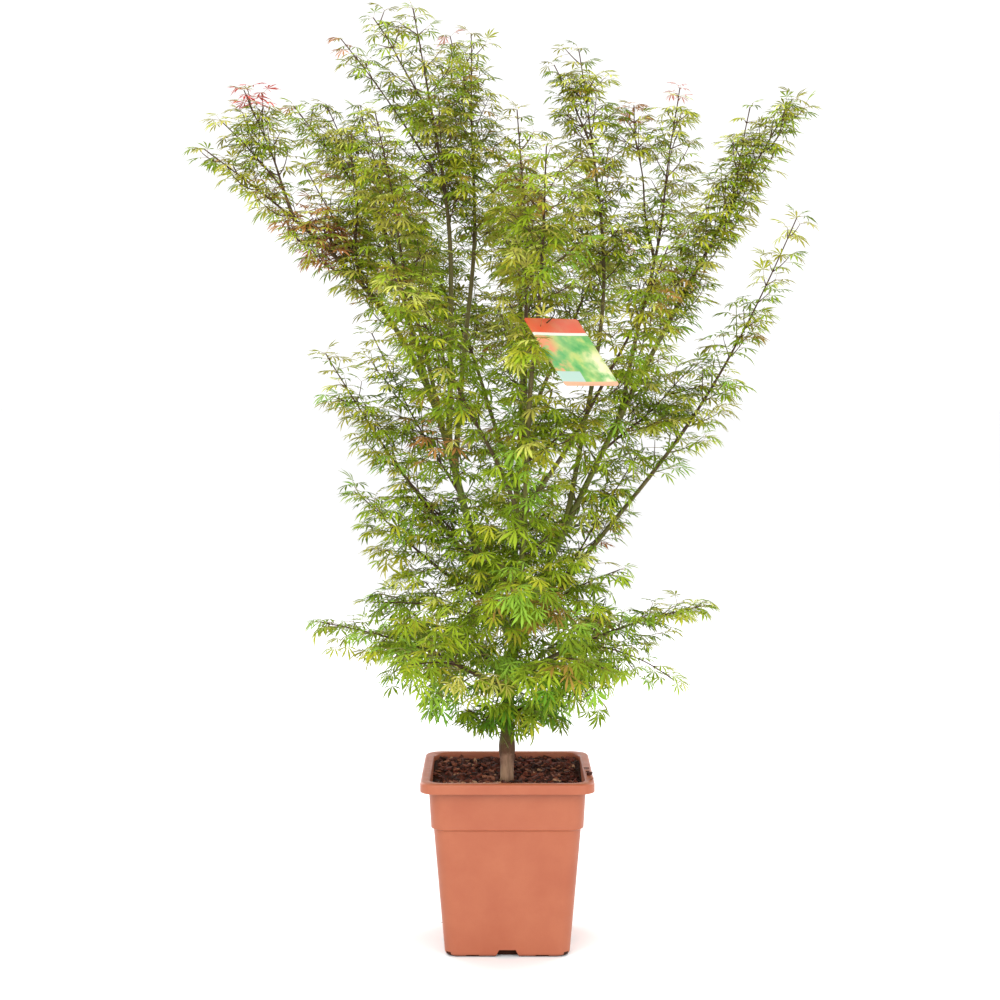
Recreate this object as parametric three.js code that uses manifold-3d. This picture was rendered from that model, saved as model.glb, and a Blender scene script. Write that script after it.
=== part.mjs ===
// A potted Japanese maple: a square pot full of bark compost, a short trunk that forks
// low down, slender boughs that fan out like a vase, and a mass of foliage on each bough.
//
// Units are millimetres and +Z is up. The origin is on the ground under the pot's centre,
// and -Y is the front, where the sale label hangs.

import * as THREE from "three";
import { mergeVertices } from "three/addons/utils/BufferGeometryUtils.js";
import Module from "manifold-3d";

const wasm = await Module();
wasm.setup();

// ---- Driving dimensions ----------------------------------------------------------------

const GAP = 0.3; // clearance left between pieces that touch
const FOOT_GAP = 0.35; // clearance between the trunk and what is cut round it
const LIMB_GAP = 0.38; // clearance between a bough and what is cut round it
const FOLIAGE_GAP = 0.6; // clearance left between two masses of foliage

const POT = {
  height: 266,
  base: 94, // half width of the wall just above the rounded bottom edge
  step: 194, // height of the step in the wall
  below: 110, // half width just below the step
  above: 114.2, // half width just above it
  neck: 118, // half width under the rim
  rim: 130, // half width of the rim
  lip: 15.5, // depth of the rim's turned-down lip
  wall: 2.4,
  brim: 3, // thickness of the rim's flat top
  bevel: 2, // bevel of the rim's outer edge, and of the floor's edge inside
  corner: 25, // corner radius at the rim
  baseCorner: 19, // corner radius at the bottom
  edge: 9, // rounding of the bottom edge
  edgeIn: 2.2, // the middle of that rounding: how far in from the wall,
  edgeUp: 3, // and how far up
  stepFoot: 3, // where the step starts inside, below the step outside,
  stepTop: 1, // and where it ends, above it
};
const CORNER_STEPS = 3; // facets in each rounded corner of the pot

const DRAIN = { foot: 18, top: 12.5, height: 11 }; // half widths and height of a drain channel
// The solid that the ridges over the channels are cut from, just inside the pot's floor and wall.
const RIDGE = { floor: 0.5, edge: 1.5, wall: 1, top: 20 };

const SOIL = { top: 249, edge: 0.4 }; // the compost's surface, and its clearance to the wall

const TRUNK = {
  top: [13, 0, 474],
  bow: [-5, 3, 0],
  foot: 9.8, // radius above the root flare
  end: 8.2,
  flare: 0.6, // how far the root flare spreads
  flareHeight: 16,
  level: 4, // rings closer than this to the compost are dropped onto it
  sides: 8,
  rings: 8,
};

// Each bough leaves its parent at a share of that parent's length and runs to its tip.
// bow is how far the limb stands off the straight line between its ends at the most: in
// the middle, or past it where late is over 1. foot is the radius at its foot, and cut is
// the share at which it enters its foliage. A bough whose cut is 0 is hidden in foliage
// all the way, and has no solid.
const BOUGHS = {
  left: { from: ["trunk", 0.93], tip: [-464, -92, 1216], bow: [126, 14, -6], late: 1.5, foot: 6.8, cut: 0.71 },
  right: { from: ["trunk", 0.96], tip: [442, -20, 1302], bow: [-20, 6, -12], foot: 5.8, cut: 0.6 },
  centre: { from: ["trunk", 0.985], tip: [14, -96, 1274], bow: [18, 14, 0], foot: 5, cut: 0.5 },
  back: { from: ["trunk", 0.89], tip: [24, 380, 1262], bow: [4, -40, -10], foot: 5.6, cut: 0.6 },
  front: { from: ["trunk", 0.88], tip: [52, -374, 1186], bow: [4, 12, 0], foot: 5.2, cut: 0.77 },
  right_low: { from: ["trunk", 0.86], tip: [457, 34, 1127], bow: [10, 4, -50], late: 1.5, foot: 4.4, cut: 0.52 },

  leader: { from: ["left", 0.4], tip: [-148, 24, 1448], bow: [26, 0, 0], foot: 4.8, cut: 0.56 },
  left_tip: { from: ["left", 0.86], tip: [-399, -60, 1303], bow: [4, 0, 0], foot: 2.6, cut: 0 },
  left_back: { from: ["left", 0.515], tip: [-300, 196, 1322], bow: [18, -22, 0], foot: 3.8, cut: 0.36 },
  left_front: { from: ["left", 0.447], tip: [-190, -226, 1250], bow: [-4, 22, 0], foot: 3.8, cut: 0.4 },
  left_low: { from: ["left", 0.13], tip: [-276, -66, 906], bow: [-12, 0, 0], foot: 3.4, cut: 0.42 },
  left_mid: { from: ["left", 0.076], tip: [-229, -16, 690], bow: [6, 0, -20], foot: 3.6, cut: 0.4 },
  inner_back: { from: ["left", 0.358], tip: [-58, 158, 1432], bow: [14, -26, 0], foot: 4.6, cut: 0.52 },

  inner_right: { from: ["right", 0.2], tip: [112, 70, 1394], bow: [48, -6, 0], foot: 4.4, cut: 0.54 },
  right_back: { from: ["right", 0.42], tip: [284, 178, 1346], bow: [6, -22, 0], foot: 3.6, cut: 0.38 },
  right_front: { from: ["front", 0.3], tip: [228, -256, 1056], bow: [18, 30, 0], foot: 3.8, cut: 0.46 },

  back_left: { from: ["back", 0.3], tip: [-182, 318, 1176], bow: [14, -26, 0], foot: 3.8, cut: 0.46 },
  back_right: { from: ["back", 0.38], tip: [196, 330, 1130], bow: [-10, -20, 0], foot: 3.8, cut: 0.42 },
  front_left: { from: ["front", 0.26], tip: [-160, -330, 1010], bow: [12, 24, 0], foot: 3.6, cut: 0.44 },

  low_left: { from: ["trunk", 0.6], tip: [-290, -16, 492], bow: [0, 0, 16], foot: 3.6, cut: 0.4 },
  low_right: { from: ["trunk", 0.68], tip: [302, 4, 514], bow: [0, 0, 14], foot: 3.6, cut: 0.4 },
  low_front_left: { from: ["trunk", 0.52], tip: [-140, -196, 452], bow: [0, 0, 26], foot: 3.4, cut: 0.3 },
  low_front_right: { from: ["trunk", 0.62], tip: [140, -190, 446], bow: [0, 0, 28], foot: 3.4, cut: 0.3 },
  low_back_left: { from: ["trunk", 0.64], tip: [-146, 196, 462], bow: [0, 0, 26], foot: 3.4, cut: 0.3 },
  low_back_right: { from: ["trunk", 0.56], tip: [142, 192, 456], bow: [0, 0, 26], foot: 3.4, cut: 0.3 },
};
const BOUGH_SIDES = 6;
const BOUGH_STEP = 100; // spacing of the rings along a bough
const BOUGH_TIP = 0.34; // radius at the tip as a share of the radius at the foot
const CROOK = 4; // how far a limb wanders to the side
const CROOK_TURNS = 1.5;

// Each mass sits on a bough between two shares of its length, with half widths across the
// bough (side to side, and in the plane in which the bough leans).
const FOLIAGE = {
  plume_left: { on: "left", span: [0.64, 1.02], across: [58, 62] },
  plume_leader: { on: "leader", span: [0.5, 1.02], across: [60, 84] },
  plume_right: { on: "right", span: [0.56, 1.02], across: [58, 56] },
  plume_right_low: { on: "right_low", span: [0.46, 1.04], across: [50, 42] },
  plume_left_tip: { on: "left_tip", span: [0.3, 1.08], across: [44, 38] },
  plume_left_back: { on: "left_back", span: [0.3, 1.02], across: [60, 62] },
  plume_left_front: { on: "left_front", span: [0.34, 1.02], across: [58, 62] },
  plume_left_low: { on: "left_low", span: [0.36, 1.05], across: [62, 54] },
  plume_left_mid: { on: "left_mid", span: [0.34, 1.06], across: [66, 50] },
  plume_inner_back: { on: "inner_back", span: [0.46, 1.01], across: [60, 62] },
  plume_inner_right: { on: "inner_right", span: [0.48, 1.01], across: [58, 62] },
  plume_right_back: { on: "right_back", span: [0.32, 1.02], across: [54, 54] },
  plume_centre: { on: "centre", span: [0.42, 1.03], across: [58, 62] },
  plume_right_front: { on: "right_front", span: [0.4, 1.03], across: [60, 58] },
  plume_front: { on: "front", span: [0.71, 1.04], across: [66, 58] },
  plume_back: { on: "back", span: [0.54, 1.03], across: [66, 60] },
  plume_back_left: { on: "back_left", span: [0.4, 1.03], across: [60, 56] },
  plume_back_right: { on: "back_right", span: [0.36, 1.03], across: [60, 56] },
  plume_front_left: { on: "front_left", span: [0.38, 1.03], across: [60, 56] },
  spray_low_left: { on: "low_left", span: [0.32, 1.03], across: [70, 36] },
  spray_low_right: { on: "low_right", span: [0.32, 1.03], across: [70, 38] },
  spray_low_front_left: { on: "low_front_left", span: [0.2, 1.05], across: [80, 68] },
  spray_low_front_right: { on: "low_front_right", span: [0.2, 1.05], across: [74, 62] },
  spray_low_back_left: { on: "low_back_left", span: [0.2, 1.05], across: [84, 76] },
  spray_low_back_right: { on: "low_back_right", span: [0.2, 1.05], across: [84, 76] },
  spray_skirt: { on: "trunk", span: [0.25, 0.5], across: [62, 58] },
  core_left: { on: "left", span: [0.06, 0.63], across: [66, 66] },
  core_right: { on: "right", span: [0.05, 0.55], across: [64, 70] },
  core_front: { on: "front", span: [0.07, 0.64], across: [66, 54] },
  core_back: { on: "back", span: [0.07, 0.53], across: [66, 54] },
};
const MASS_SIDES = 7;
const MASS_RINGS = 6;
const TAPER = 0.15; // how much wider a mass is low down, and narrower at its tip
const BELLY = 0.35; // how much the lower end is squared out, from 0, which is an ellipse
const LUMPS = [0.13, 0.09]; // broad and fine unevenness of a mass, as shares of its width

const CARD = { width: 100, height: 128, thick: 1.2, corner: 4, hole: 3.2 };
const CARD_HOLE = [-13, 54]; // the hole's place on the card, from its centre
const CARD_PLACE = [88, -300, 902]; // the card's centre
const CARD_YAW = THREE.MathUtils.degToRad(40); // it is turned to the right
const CARD_TILT = THREE.MathUtils.degToRad(43); // and its lower edge is pushed out
const CARD_CLEAR = 1; // how far the foliage is cut clear of the card
const TIE = {
  thread: 0.9,
  sides: 5,
  rings: 13,
  share: 0.69, // where the loop hangs on the front bough
  seat: 1.3, // how far above the hole's centre the card hangs on it
};

const material = (color, roughness) => new THREE.MeshStandardMaterial({ color, roughness, metalness: 0 });
const FINISH = {
  pot: () => material("#d28161", 0.55),
  soil: () => material("#4b2a1b", 0.95),
  bark: () => material("#7c8939", 0.8),
  trunk: () => material("#6f5c3c", 0.85),
  foliage: () => material("#7f9438", 0.7),
  card: () => material("#a9c46f", 0.4),
  tie: () => material("#3c4a2c", 0.6),
};

// ---- Solids ----------------------------------------------------------------------------

// A closed geometry as a solid that can be cut and joined.
function toSolid(geometry) {
  const bare = geometry.clone();
  bare.deleteAttribute("normal");
  bare.deleteAttribute("uv");
  const merged = mergeVertices(bare, 1e-4);
  return new wasm.Manifold(new wasm.Mesh({
    numProp: 3,
    vertProperties: new Float32Array(merged.attributes.position.array),
    triVerts: new Uint32Array(merged.index.array),
  }));
}

function toGeometry(solid) {
  const mesh = solid.getMesh();
  const geometry = new THREE.BufferGeometry();
  geometry.setAttribute("position", new THREE.BufferAttribute(mesh.vertProperties, 3));
  geometry.setIndex(new THREE.BufferAttribute(mesh.triVerts, 1));
  geometry.computeVertexNormals();
  return geometry;
}

function overlaps(solid, other) {
  const a = solid.boundingBox();
  const b = other.boundingBox();
  return [0, 1, 2].every((i) => a.min[i] < b.max[i] && b.min[i] < a.max[i]);
}

// What is left of a solid after the others have been cut out of it.
function cutBy(solid, others) {
  const near = others.filter((other) => overlaps(solid, other));
  return near.reduce((left, other) => left.subtract(other), solid);
}

// ---- The pot and its compost -----------------------------------------------------------

// A lathe whose rounds are turned into squares with rounded corners. The profile's first
// number is the half width of the square at that height.
function squareLathe(profile) {
  const sides = 4 * (CORNER_STEPS + 1);
  const points = profile.map(([half, z]) => new THREE.Vector2(half, z));
  const geometry = new THREE.LatheGeometry(points, sides).rotateX(Math.PI / 2);
  const place = geometry.attributes.position;
  for (let i = 0; i < place.count; i += 1) {
    const half = Math.hypot(place.getX(i), place.getY(i));
    const turn = Math.atan2(place.getY(i), place.getX(i)) / (2 * Math.PI) + 1;
    const corner = cornerRadius(half, place.getZ(i));
    const [x, y] = outlinePoint(Math.round(turn * sides) % sides, half, corner);
    place.setXY(i, x, y);
  }
  return geometry;
}

// The corner radius grows from the bottom to the rim, and shrinks with a small outline.
function cornerRadius(half, z) {
  const share = THREE.MathUtils.clamp(z / POT.height, 0, 1);
  const full = THREE.MathUtils.lerp(POT.baseCorner, POT.corner, share);
  return Math.min(full, 0.4 * half);
}

// Point number `step` on a rounded square: each corner has CORNER_STEPS facets.
function outlinePoint(step, half, corner) {
  const quarter = Math.floor(step / (CORNER_STEPS + 1));
  const facet = step % (CORNER_STEPS + 1);
  const angle = (quarter + facet / CORNER_STEPS) * (Math.PI / 2);
  const middle = (quarter + 0.5) * (Math.PI / 2);
  const reach = (half - corner) * Math.SQRT2;
  return [
    reach * Math.cos(middle) + corner * Math.cos(angle),
    reach * Math.sin(middle) + corner * Math.sin(angle),
  ];
}

// A bar with a tapering section, along X through the origin, resting on the ground.
function channelBar(grow, top) {
  const section = new THREE.Shape([
    new THREE.Vector2(-DRAIN.foot - grow, -1),
    new THREE.Vector2(DRAIN.foot + grow, -1),
    new THREE.Vector2(DRAIN.foot + grow, 0),
    new THREE.Vector2(DRAIN.top + grow, top),
    new THREE.Vector2(-DRAIN.top - grow, top),
    new THREE.Vector2(-DRAIN.foot - grow, 0),
  ]);
  const length = 2 * POT.rim;
  const bar = new THREE.ExtrudeGeometry(section, { depth: length, bevelEnabled: false });
  return bar.translate(0, 0, -length / 2).rotateX(Math.PI / 2).rotateZ(Math.PI / 2);
}

// The drain channels cross under the pot, from the middle of each side.
function crossing(grow, top) {
  const along = toSolid(channelBar(grow, top));
  return along.add(toSolid(channelBar(grow, top).rotateZ(Math.PI / 2)));
}

function insideProfile(clear, top, topHalf) {
  const { wall, bevel } = POT;
  return [
    [0, wall + clear],
    [POT.base - POT.edge - wall, wall + clear],
    [POT.base - wall - clear - bevel, wall + bevel + clear],
    [POT.base - wall - clear, POT.edge + clear],
    [POT.below - wall - clear, POT.step - POT.stepFoot + clear],
    [POT.above - wall - clear, POT.step + POT.stepTop + clear],
    [topHalf - clear, top],
  ];
}

function pot() {
  const { height, wall, neck, rim, lip, brim, bevel } = POT;
  const inside = insideProfile(0, height - bevel, neck - wall);
  const shell = squareLathe([
    [0, 0],
    [POT.base - POT.edge, 0],
    [POT.base - POT.edgeIn, POT.edgeUp],
    [POT.base, POT.edge],
    [POT.below, POT.step - POT.bevel],
    [POT.above, POT.step],
    [neck, height - brim],
    [rim - wall, height - brim],
    [rim - wall, height - lip],
    [rim, height - lip],
    [rim, height - bevel],
    [rim - bevel, height],
    [neck - wall + bevel / 2, height],
    ...inside.reverse(),
  ]);
  const ridged = toSolid(shell).add(ridges());
  return toGeometry(ridged.subtract(crossing(0, DRAIN.height)));
}

// The floor rises over the drain channels, inside the pot.
function ridges() {
  const inner = toSolid(squareLathe([
    [0, RIDGE.floor],
    [POT.base - POT.edge, RIDGE.floor],
    [POT.base - RIDGE.edge, POT.edge],
    [POT.base - RIDGE.wall, RIDGE.top],
    [0, RIDGE.top],
  ]));
  return inner.intersect(crossing(POT.wall, DRAIN.height + POT.wall));
}

function soil() {
  const share = (SOIL.top - POT.step) / (POT.height - POT.step);
  const half = THREE.MathUtils.lerp(POT.above, POT.neck, share) - POT.wall;
  const body = toSolid(squareLathe([...insideProfile(SOIL.edge, SOIL.top, half), [0, SOIL.top]]));
  return toGeometry(body.subtract(crossing(POT.wall + SOIL.edge, DRAIN.height + POT.wall + SOIL.edge)));
}

// ---- Limbs -----------------------------------------------------------------------------

// The centre line of a limb: bowed between its ends, and a little crooked on the way.
class LimbCurve extends THREE.Curve {
  constructor(foot, tip, bow, late = 1) {
    super();
    this.foot = foot;
    this.tip = tip;
    this.bow = bow;
    this.late = late;
    const heading = Math.atan2(tip.y - foot.y, tip.x - foot.x);
    this.side = new THREE.Vector3(-Math.sin(heading), Math.cos(heading), 0);
    this.span = foot.distanceTo(tip);
  }

  getPoint(share, target = new THREE.Vector3()) {
    const swell = Math.sin(Math.PI * THREE.MathUtils.clamp(share, 0, 1) ** this.late);
    const crook = CROOK * swell * Math.sin(2 * Math.PI * CROOK_TURNS * share);
    return target.lerpVectors(this.foot, this.tip, share)
      .addScaledVector(this.bow, swell)
      .addScaledVector(this.side, crook);
  }

  // Two directions across the limb: sideways, and in the plane in which it leans.
  across(share) {
    const along = this.getPoint(share + 0.01).sub(this.getPoint(share - 0.01)).normalize();
    const sideways = this.side.clone().addScaledVector(along, -this.side.dot(along)).normalize();
    return [sideways, along.clone().cross(sideways)];
  }
}

const vector = (numbers) => new THREE.Vector3(...numbers);

// Moves a unit solid that stands on Z from 0 to 1 onto a limb between two shares of its
// length; widths(share, angle) gives the half widths there.
function bendOnto(geometry, curve, from, to, widths) {
  const place = geometry.attributes.position;
  for (let i = 0; i < place.count; i += 1) {
    const [x, y, z] = [place.getX(i), place.getY(i), place.getZ(i)];
    const share = THREE.MathUtils.lerp(from, to, z);
    const [sideways, leaning] = curve.across(share);
    const [wide, deep] = widths(z, Math.atan2(y, x));
    const point = curve.getPoint(share)
      .addScaledVector(sideways, x * wide)
      .addScaledVector(leaning, y * deep);
    place.setXYZ(i, point.x, point.y, point.z);
  }
  return geometry;
}

// A tapering limb from share 0 to `cut`, grown by `grow` all round for cutting others.
function limb(curve, radiusAt, cut, grow, sides, steps) {
  const rod = new THREE.CylinderGeometry(1, 1, 1, sides, steps).rotateX(Math.PI / 2).translate(0, 0, 0.5);
  const extra = grow / curve.span;
  return bendOnto(rod, curve, 0, cut + extra, (z) => {
    const radius = radiusAt(z * cut) + grow;
    return [radius, radius];
  });
}

function trunkCurve() {
  return new LimbCurve(new THREE.Vector3(0, 0, SOIL.top + GAP), vector(TRUNK.top), vector(TRUNK.bow));
}

function trunkRadius(share) {
  const height = share * (TRUNK.top[2] - SOIL.top);
  const flare = TRUNK.flare * Math.exp(-height / TRUNK.flareHeight);
  return THREE.MathUtils.lerp(TRUNK.foot, TRUNK.end, share) + flare;
}

// The centre lines of the trunk and of every bough, by name.
function limbCurves() {
  const curves = { trunk: trunkCurve() };
  for (const [name, { from, tip, bow, late }] of Object.entries(BOUGHS)) {
    const foot = curves[from[0]].getPoint(from[1]);
    curves[name] = new LimbCurve(foot, vector(tip), vector(bow), late);
  }
  return curves;
}

const CURVES = limbCurves();

function trunk(grow = 0) {
  const geometry = limb(CURVES.trunk, trunkRadius, 1, grow, TRUNK.sides, TRUNK.rings);
  if (grow > 0) return geometry;
  // The cut at ground level is level, so the lowest ring is dropped onto it.
  const place = geometry.attributes.position;
  for (let i = 0; i < place.count; i += 1) {
    if (place.getZ(i) < SOIL.top + TRUNK.level) place.setZ(i, SOIL.top + GAP);
  }
  return geometry;
}

function boughRadius(name, share) {
  return BOUGHS[name].foot * THREE.MathUtils.lerp(1, BOUGH_TIP, share);
}

function bough(name, grow = 0) {
  const { cut } = BOUGHS[name];
  const curve = CURVES[name];
  const steps = Math.max(3, Math.round((cut * curve.span) / BOUGH_STEP));
  return limb(curve, (share) => boughRadius(name, share), cut, grow, BOUGH_SIDES, steps);
}

// ---- Foliage ---------------------------------------------------------------------------

// One uneven mass of leaves round a stretch of a bough: full low down, narrow at the tip.
function mass(name, grow = 0) {
  const { on, span, across } = FOLIAGE[name];
  const curve = CURVES[on];
  const phase = name.length * 1.7 + across[0];
  const ball = new THREE.SphereGeometry(1, MASS_SIDES, MASS_RINGS).rotateX(Math.PI / 2);
  ball.scale(1, 1, 0.5).translate(0, 0, 0.5);
  const extra = grow / curve.span;
  return bendOnto(ball, curve, span[0] - extra, span[1] + extra, (z, angle) => {
    const broad = LUMPS[0] * Math.sin(2 * angle + 7 * z + phase);
    const fine = LUMPS[1] * Math.sin(5 * angle - 11 * z + 2 * phase);
    const round = 2 * Math.sqrt(Math.max(z * (1 - z), 0));
    const belly = z < 0.5 ? Math.max(round, 0.4) ** -BELLY : 1;
    const fullness = belly * THREE.MathUtils.lerp(1 + TAPER, 1 - TAPER, z) * (1 + broad + fine);
    return across.map((half) => half * fullness + grow);
  });
}

// ---- The sale label --------------------------------------------------------------------

// Puts something made in the card's own plane, upright and facing the front, onto the plant.
function placeOnCard(geometry) {
  return geometry.rotateX(Math.PI / 2).rotateX(-CARD_TILT).rotateZ(CARD_YAW).translate(...CARD_PLACE);
}

function cardOutline() {
  const { width, height, corner } = CARD;
  const [w, h] = [width / 2 - corner, height / 2 - corner];
  const outline = new THREE.Shape();
  outline.absarc(w, -h, corner, -Math.PI / 2, 0).absarc(w, h, corner, 0, Math.PI / 2);
  outline.absarc(-w, h, corner, Math.PI / 2, Math.PI).absarc(-w, -h, corner, Math.PI, 1.5 * Math.PI);
  return outline;
}

function labelCard() {
  const outline = cardOutline();
  outline.holes.push(new THREE.Path().absarc(...CARD_HOLE, CARD.hole, 0, 2 * Math.PI, true));
  const options = { depth: CARD.thick, bevelEnabled: false, curveSegments: CORNER_STEPS };
  const card = new THREE.ExtrudeGeometry(outline, options);
  return placeOnCard(card.translate(0, 0, -CARD.thick / 2));
}

// The loop of string goes over the front bough and through the card's hole, so its plane
// is turned halfway between square to the bough and square to the card.
function labelTie() {
  const seat = CARD_HOLE[1] + TIE.seat;
  const [eye, front] = cardPoints([CARD_HOLE[0], seat, 0], [CARD_HOLE[0], seat, 1]);
  const hook = CURVES.front.getPoint(TIE.share);
  const drop = eye.clone().sub(hook);
  const radius = (drop.length() + boughRadius("front", TIE.share) + TIE.thread + 2 * GAP) / 2;
  const down = drop.clone().normalize();
  const along = CURVES.front.getTangent(TIE.share);
  const squareToBough = along.addScaledVector(down, -along.dot(down)).normalize();
  const squareToCard = down.clone().cross(front.sub(eye)).normalize();
  const axis = squareToBough.addScaledVector(squareToCard, Math.sign(squareToBough.dot(squareToCard)));
  const turn = new THREE.Quaternion().setFromUnitVectors(new THREE.Vector3(0, 0, 1), axis.normalize());
  const middle = eye.addScaledVector(down, -radius);
  const ring = new THREE.TorusGeometry(radius, TIE.thread, TIE.sides, TIE.rings);
  return ring.applyQuaternion(turn).translate(...middle);
}

// Points given in the card's own plane, where they lie on the plant.
function cardPoints(...points) {
  const placed = placeOnCard(new THREE.BufferGeometry().setFromPoints(points.map(vector)));
  return points.map((_, i) => new THREE.Vector3().fromBufferAttribute(placed.attributes.position, i));
}

// ---- The plant -------------------------------------------------------------------------

function piece(name, geometry, finish) {
  const mesh = new THREE.Mesh(geometry, finish());
  mesh.name = name;
  return mesh;
}

// The boughs, each cut clear of the limbs before it, so that its foot fits its parent.
function boughPieces() {
  const clearances = [toSolid(trunk(FOOT_GAP))];
  const pieces = [];
  for (const name of Object.keys(BOUGHS).filter((each) => BOUGHS[each].cut > 0)) {
    pieces.push(piece(`bough_${name}`, toGeometry(cutBy(toSolid(bough(name)), clearances)), FINISH.bark));
    clearances.push(toSolid(bough(name, LIMB_GAP)));
  }
  return { pieces, clearances };
}

// The masses, each cut round the limbs and clear of the masses before it.
function foliagePieces(limbs) {
  const room = [CARD.width, CARD.height, CARD.thick].map((size) => size + 2 * CARD_CLEAR);
  const label = placeOnCard(new THREE.BoxGeometry(...room));
  const clearances = [...limbs, toSolid(label)];
  const pieces = [];
  for (const name of Object.keys(FOLIAGE)) {
    pieces.push(piece(name, toGeometry(cutBy(toSolid(mass(name)), clearances)), FINISH.foliage));
    clearances.push(toSolid(mass(name, FOLIAGE_GAP)));
  }
  return pieces;
}

function plant() {
  const group = new THREE.Group();
  const boughs = boughPieces();
  group.add(piece("pot", pot(), FINISH.pot));
  group.add(piece("soil", soil(), FINISH.soil));
  group.add(piece("trunk", trunk(), FINISH.trunk));
  group.add(...boughs.pieces);
  group.add(...foliagePieces(boughs.clearances));
  group.add(piece("label_card", labelCard(), FINISH.card));
  group.add(piece("label_tie", labelTie(), FINISH.tie));
  return group;
}

export default plant();
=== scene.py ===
# A potted Japanese maple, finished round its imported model: a square plastic pot full of
# bark compost, a short trunk and slender boughs with bark, and foliage that grows out from
# the boughs by a seeded branching rule, with a card tied to the front bough.
#
# Lengths are in metres, +Z is up and -Y is the front. The tables marked "mm" repeat the
# part's own driving dimensions in millimetres.

import math
import random
from dataclasses import dataclass, field

import bpy
import numpy as np
from mathutils import Matrix, Vector, geometry, noise


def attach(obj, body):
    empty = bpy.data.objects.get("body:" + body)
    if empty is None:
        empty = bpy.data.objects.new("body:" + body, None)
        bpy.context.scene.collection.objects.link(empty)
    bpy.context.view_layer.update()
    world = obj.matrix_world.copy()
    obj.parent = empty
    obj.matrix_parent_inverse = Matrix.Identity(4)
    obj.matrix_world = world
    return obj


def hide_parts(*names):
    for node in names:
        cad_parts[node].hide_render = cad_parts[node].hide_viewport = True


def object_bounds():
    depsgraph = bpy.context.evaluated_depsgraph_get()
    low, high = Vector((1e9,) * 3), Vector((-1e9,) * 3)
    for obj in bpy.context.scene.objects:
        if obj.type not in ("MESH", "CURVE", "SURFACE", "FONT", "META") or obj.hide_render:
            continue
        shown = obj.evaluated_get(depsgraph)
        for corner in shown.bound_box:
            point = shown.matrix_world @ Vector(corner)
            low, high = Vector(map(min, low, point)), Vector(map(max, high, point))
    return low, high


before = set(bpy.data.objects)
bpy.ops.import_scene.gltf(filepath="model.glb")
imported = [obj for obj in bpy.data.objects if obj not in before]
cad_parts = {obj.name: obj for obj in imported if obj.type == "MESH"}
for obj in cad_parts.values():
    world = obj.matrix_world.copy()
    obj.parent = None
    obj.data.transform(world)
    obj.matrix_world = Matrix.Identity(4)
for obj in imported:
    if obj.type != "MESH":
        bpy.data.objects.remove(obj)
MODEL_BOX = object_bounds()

MM = 0.001
UP = Vector((0, 0, 1))
SEED = 20
BODY = "root"

# ---- Driving dimensions, in mm ---------------------------------------------------------

POT_HEIGHT = 266
POT_CORNER = 25  # corner radius at the rim
POT_BASE_CORNER = 19  # and at the foot
# Half width, height and rounding of each corner of the pot's section, from the middle of
# the underside, up the wall, over the turned-down rim and down the inside.
POT_PROFILE = [
    (0, 0, 0),
    (93.6, 0, 6.8),
    (110.2, 192, 1.4),
    (114, 194.6, 1.4),
    (118, 262.5, 1),
    (127.6, 262.5, 1.2),
    (127.6, 250.5, 0.7),
    (130, 250.5, 0.9),
    (130, 266, 4.2),
    (116.2, 266, 3.4),
    (111.8, 195, 2),
    (107.4, 191, 2),
    (92, 14, 3),
    (0, 14, 0),
]
POT_FACE = 94  # half width of the pot at its foot
# The drain opening in the middle of each side: half widths at its foot and its top. Beside
# it the foot is bitten away a little, in the middle of each half of the side.
DRAIN = {"foot": 18, "top": 12.5, "height": 11, "deep": 14}
FOOT_BITE = {"middle": 52, "half": 11, "slant": 1.5, "height": 3.4, "deep": 4}
SOIL_TOP = 249
SOIL_HALF = 114.8  # half width of the compost

TRUNK = {"foot": 9.8, "end": 8.2, "flare": 0.6, "flare_height": 16}
TRUNK_SUNK = 6  # how far the visible trunk goes on down into the loose compost
TRUNK_FOOT = (0, 0, 249.3)  # the foot and top of its centre line, and its bow between them
TRUNK_TOP = (13, 0, 474)
TRUNK_BOW = (-5, 3, 0)
GRAFT = {"height": 48, "swell": 3.2, "width": 19}  # the graft's swelling above the soil

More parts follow.
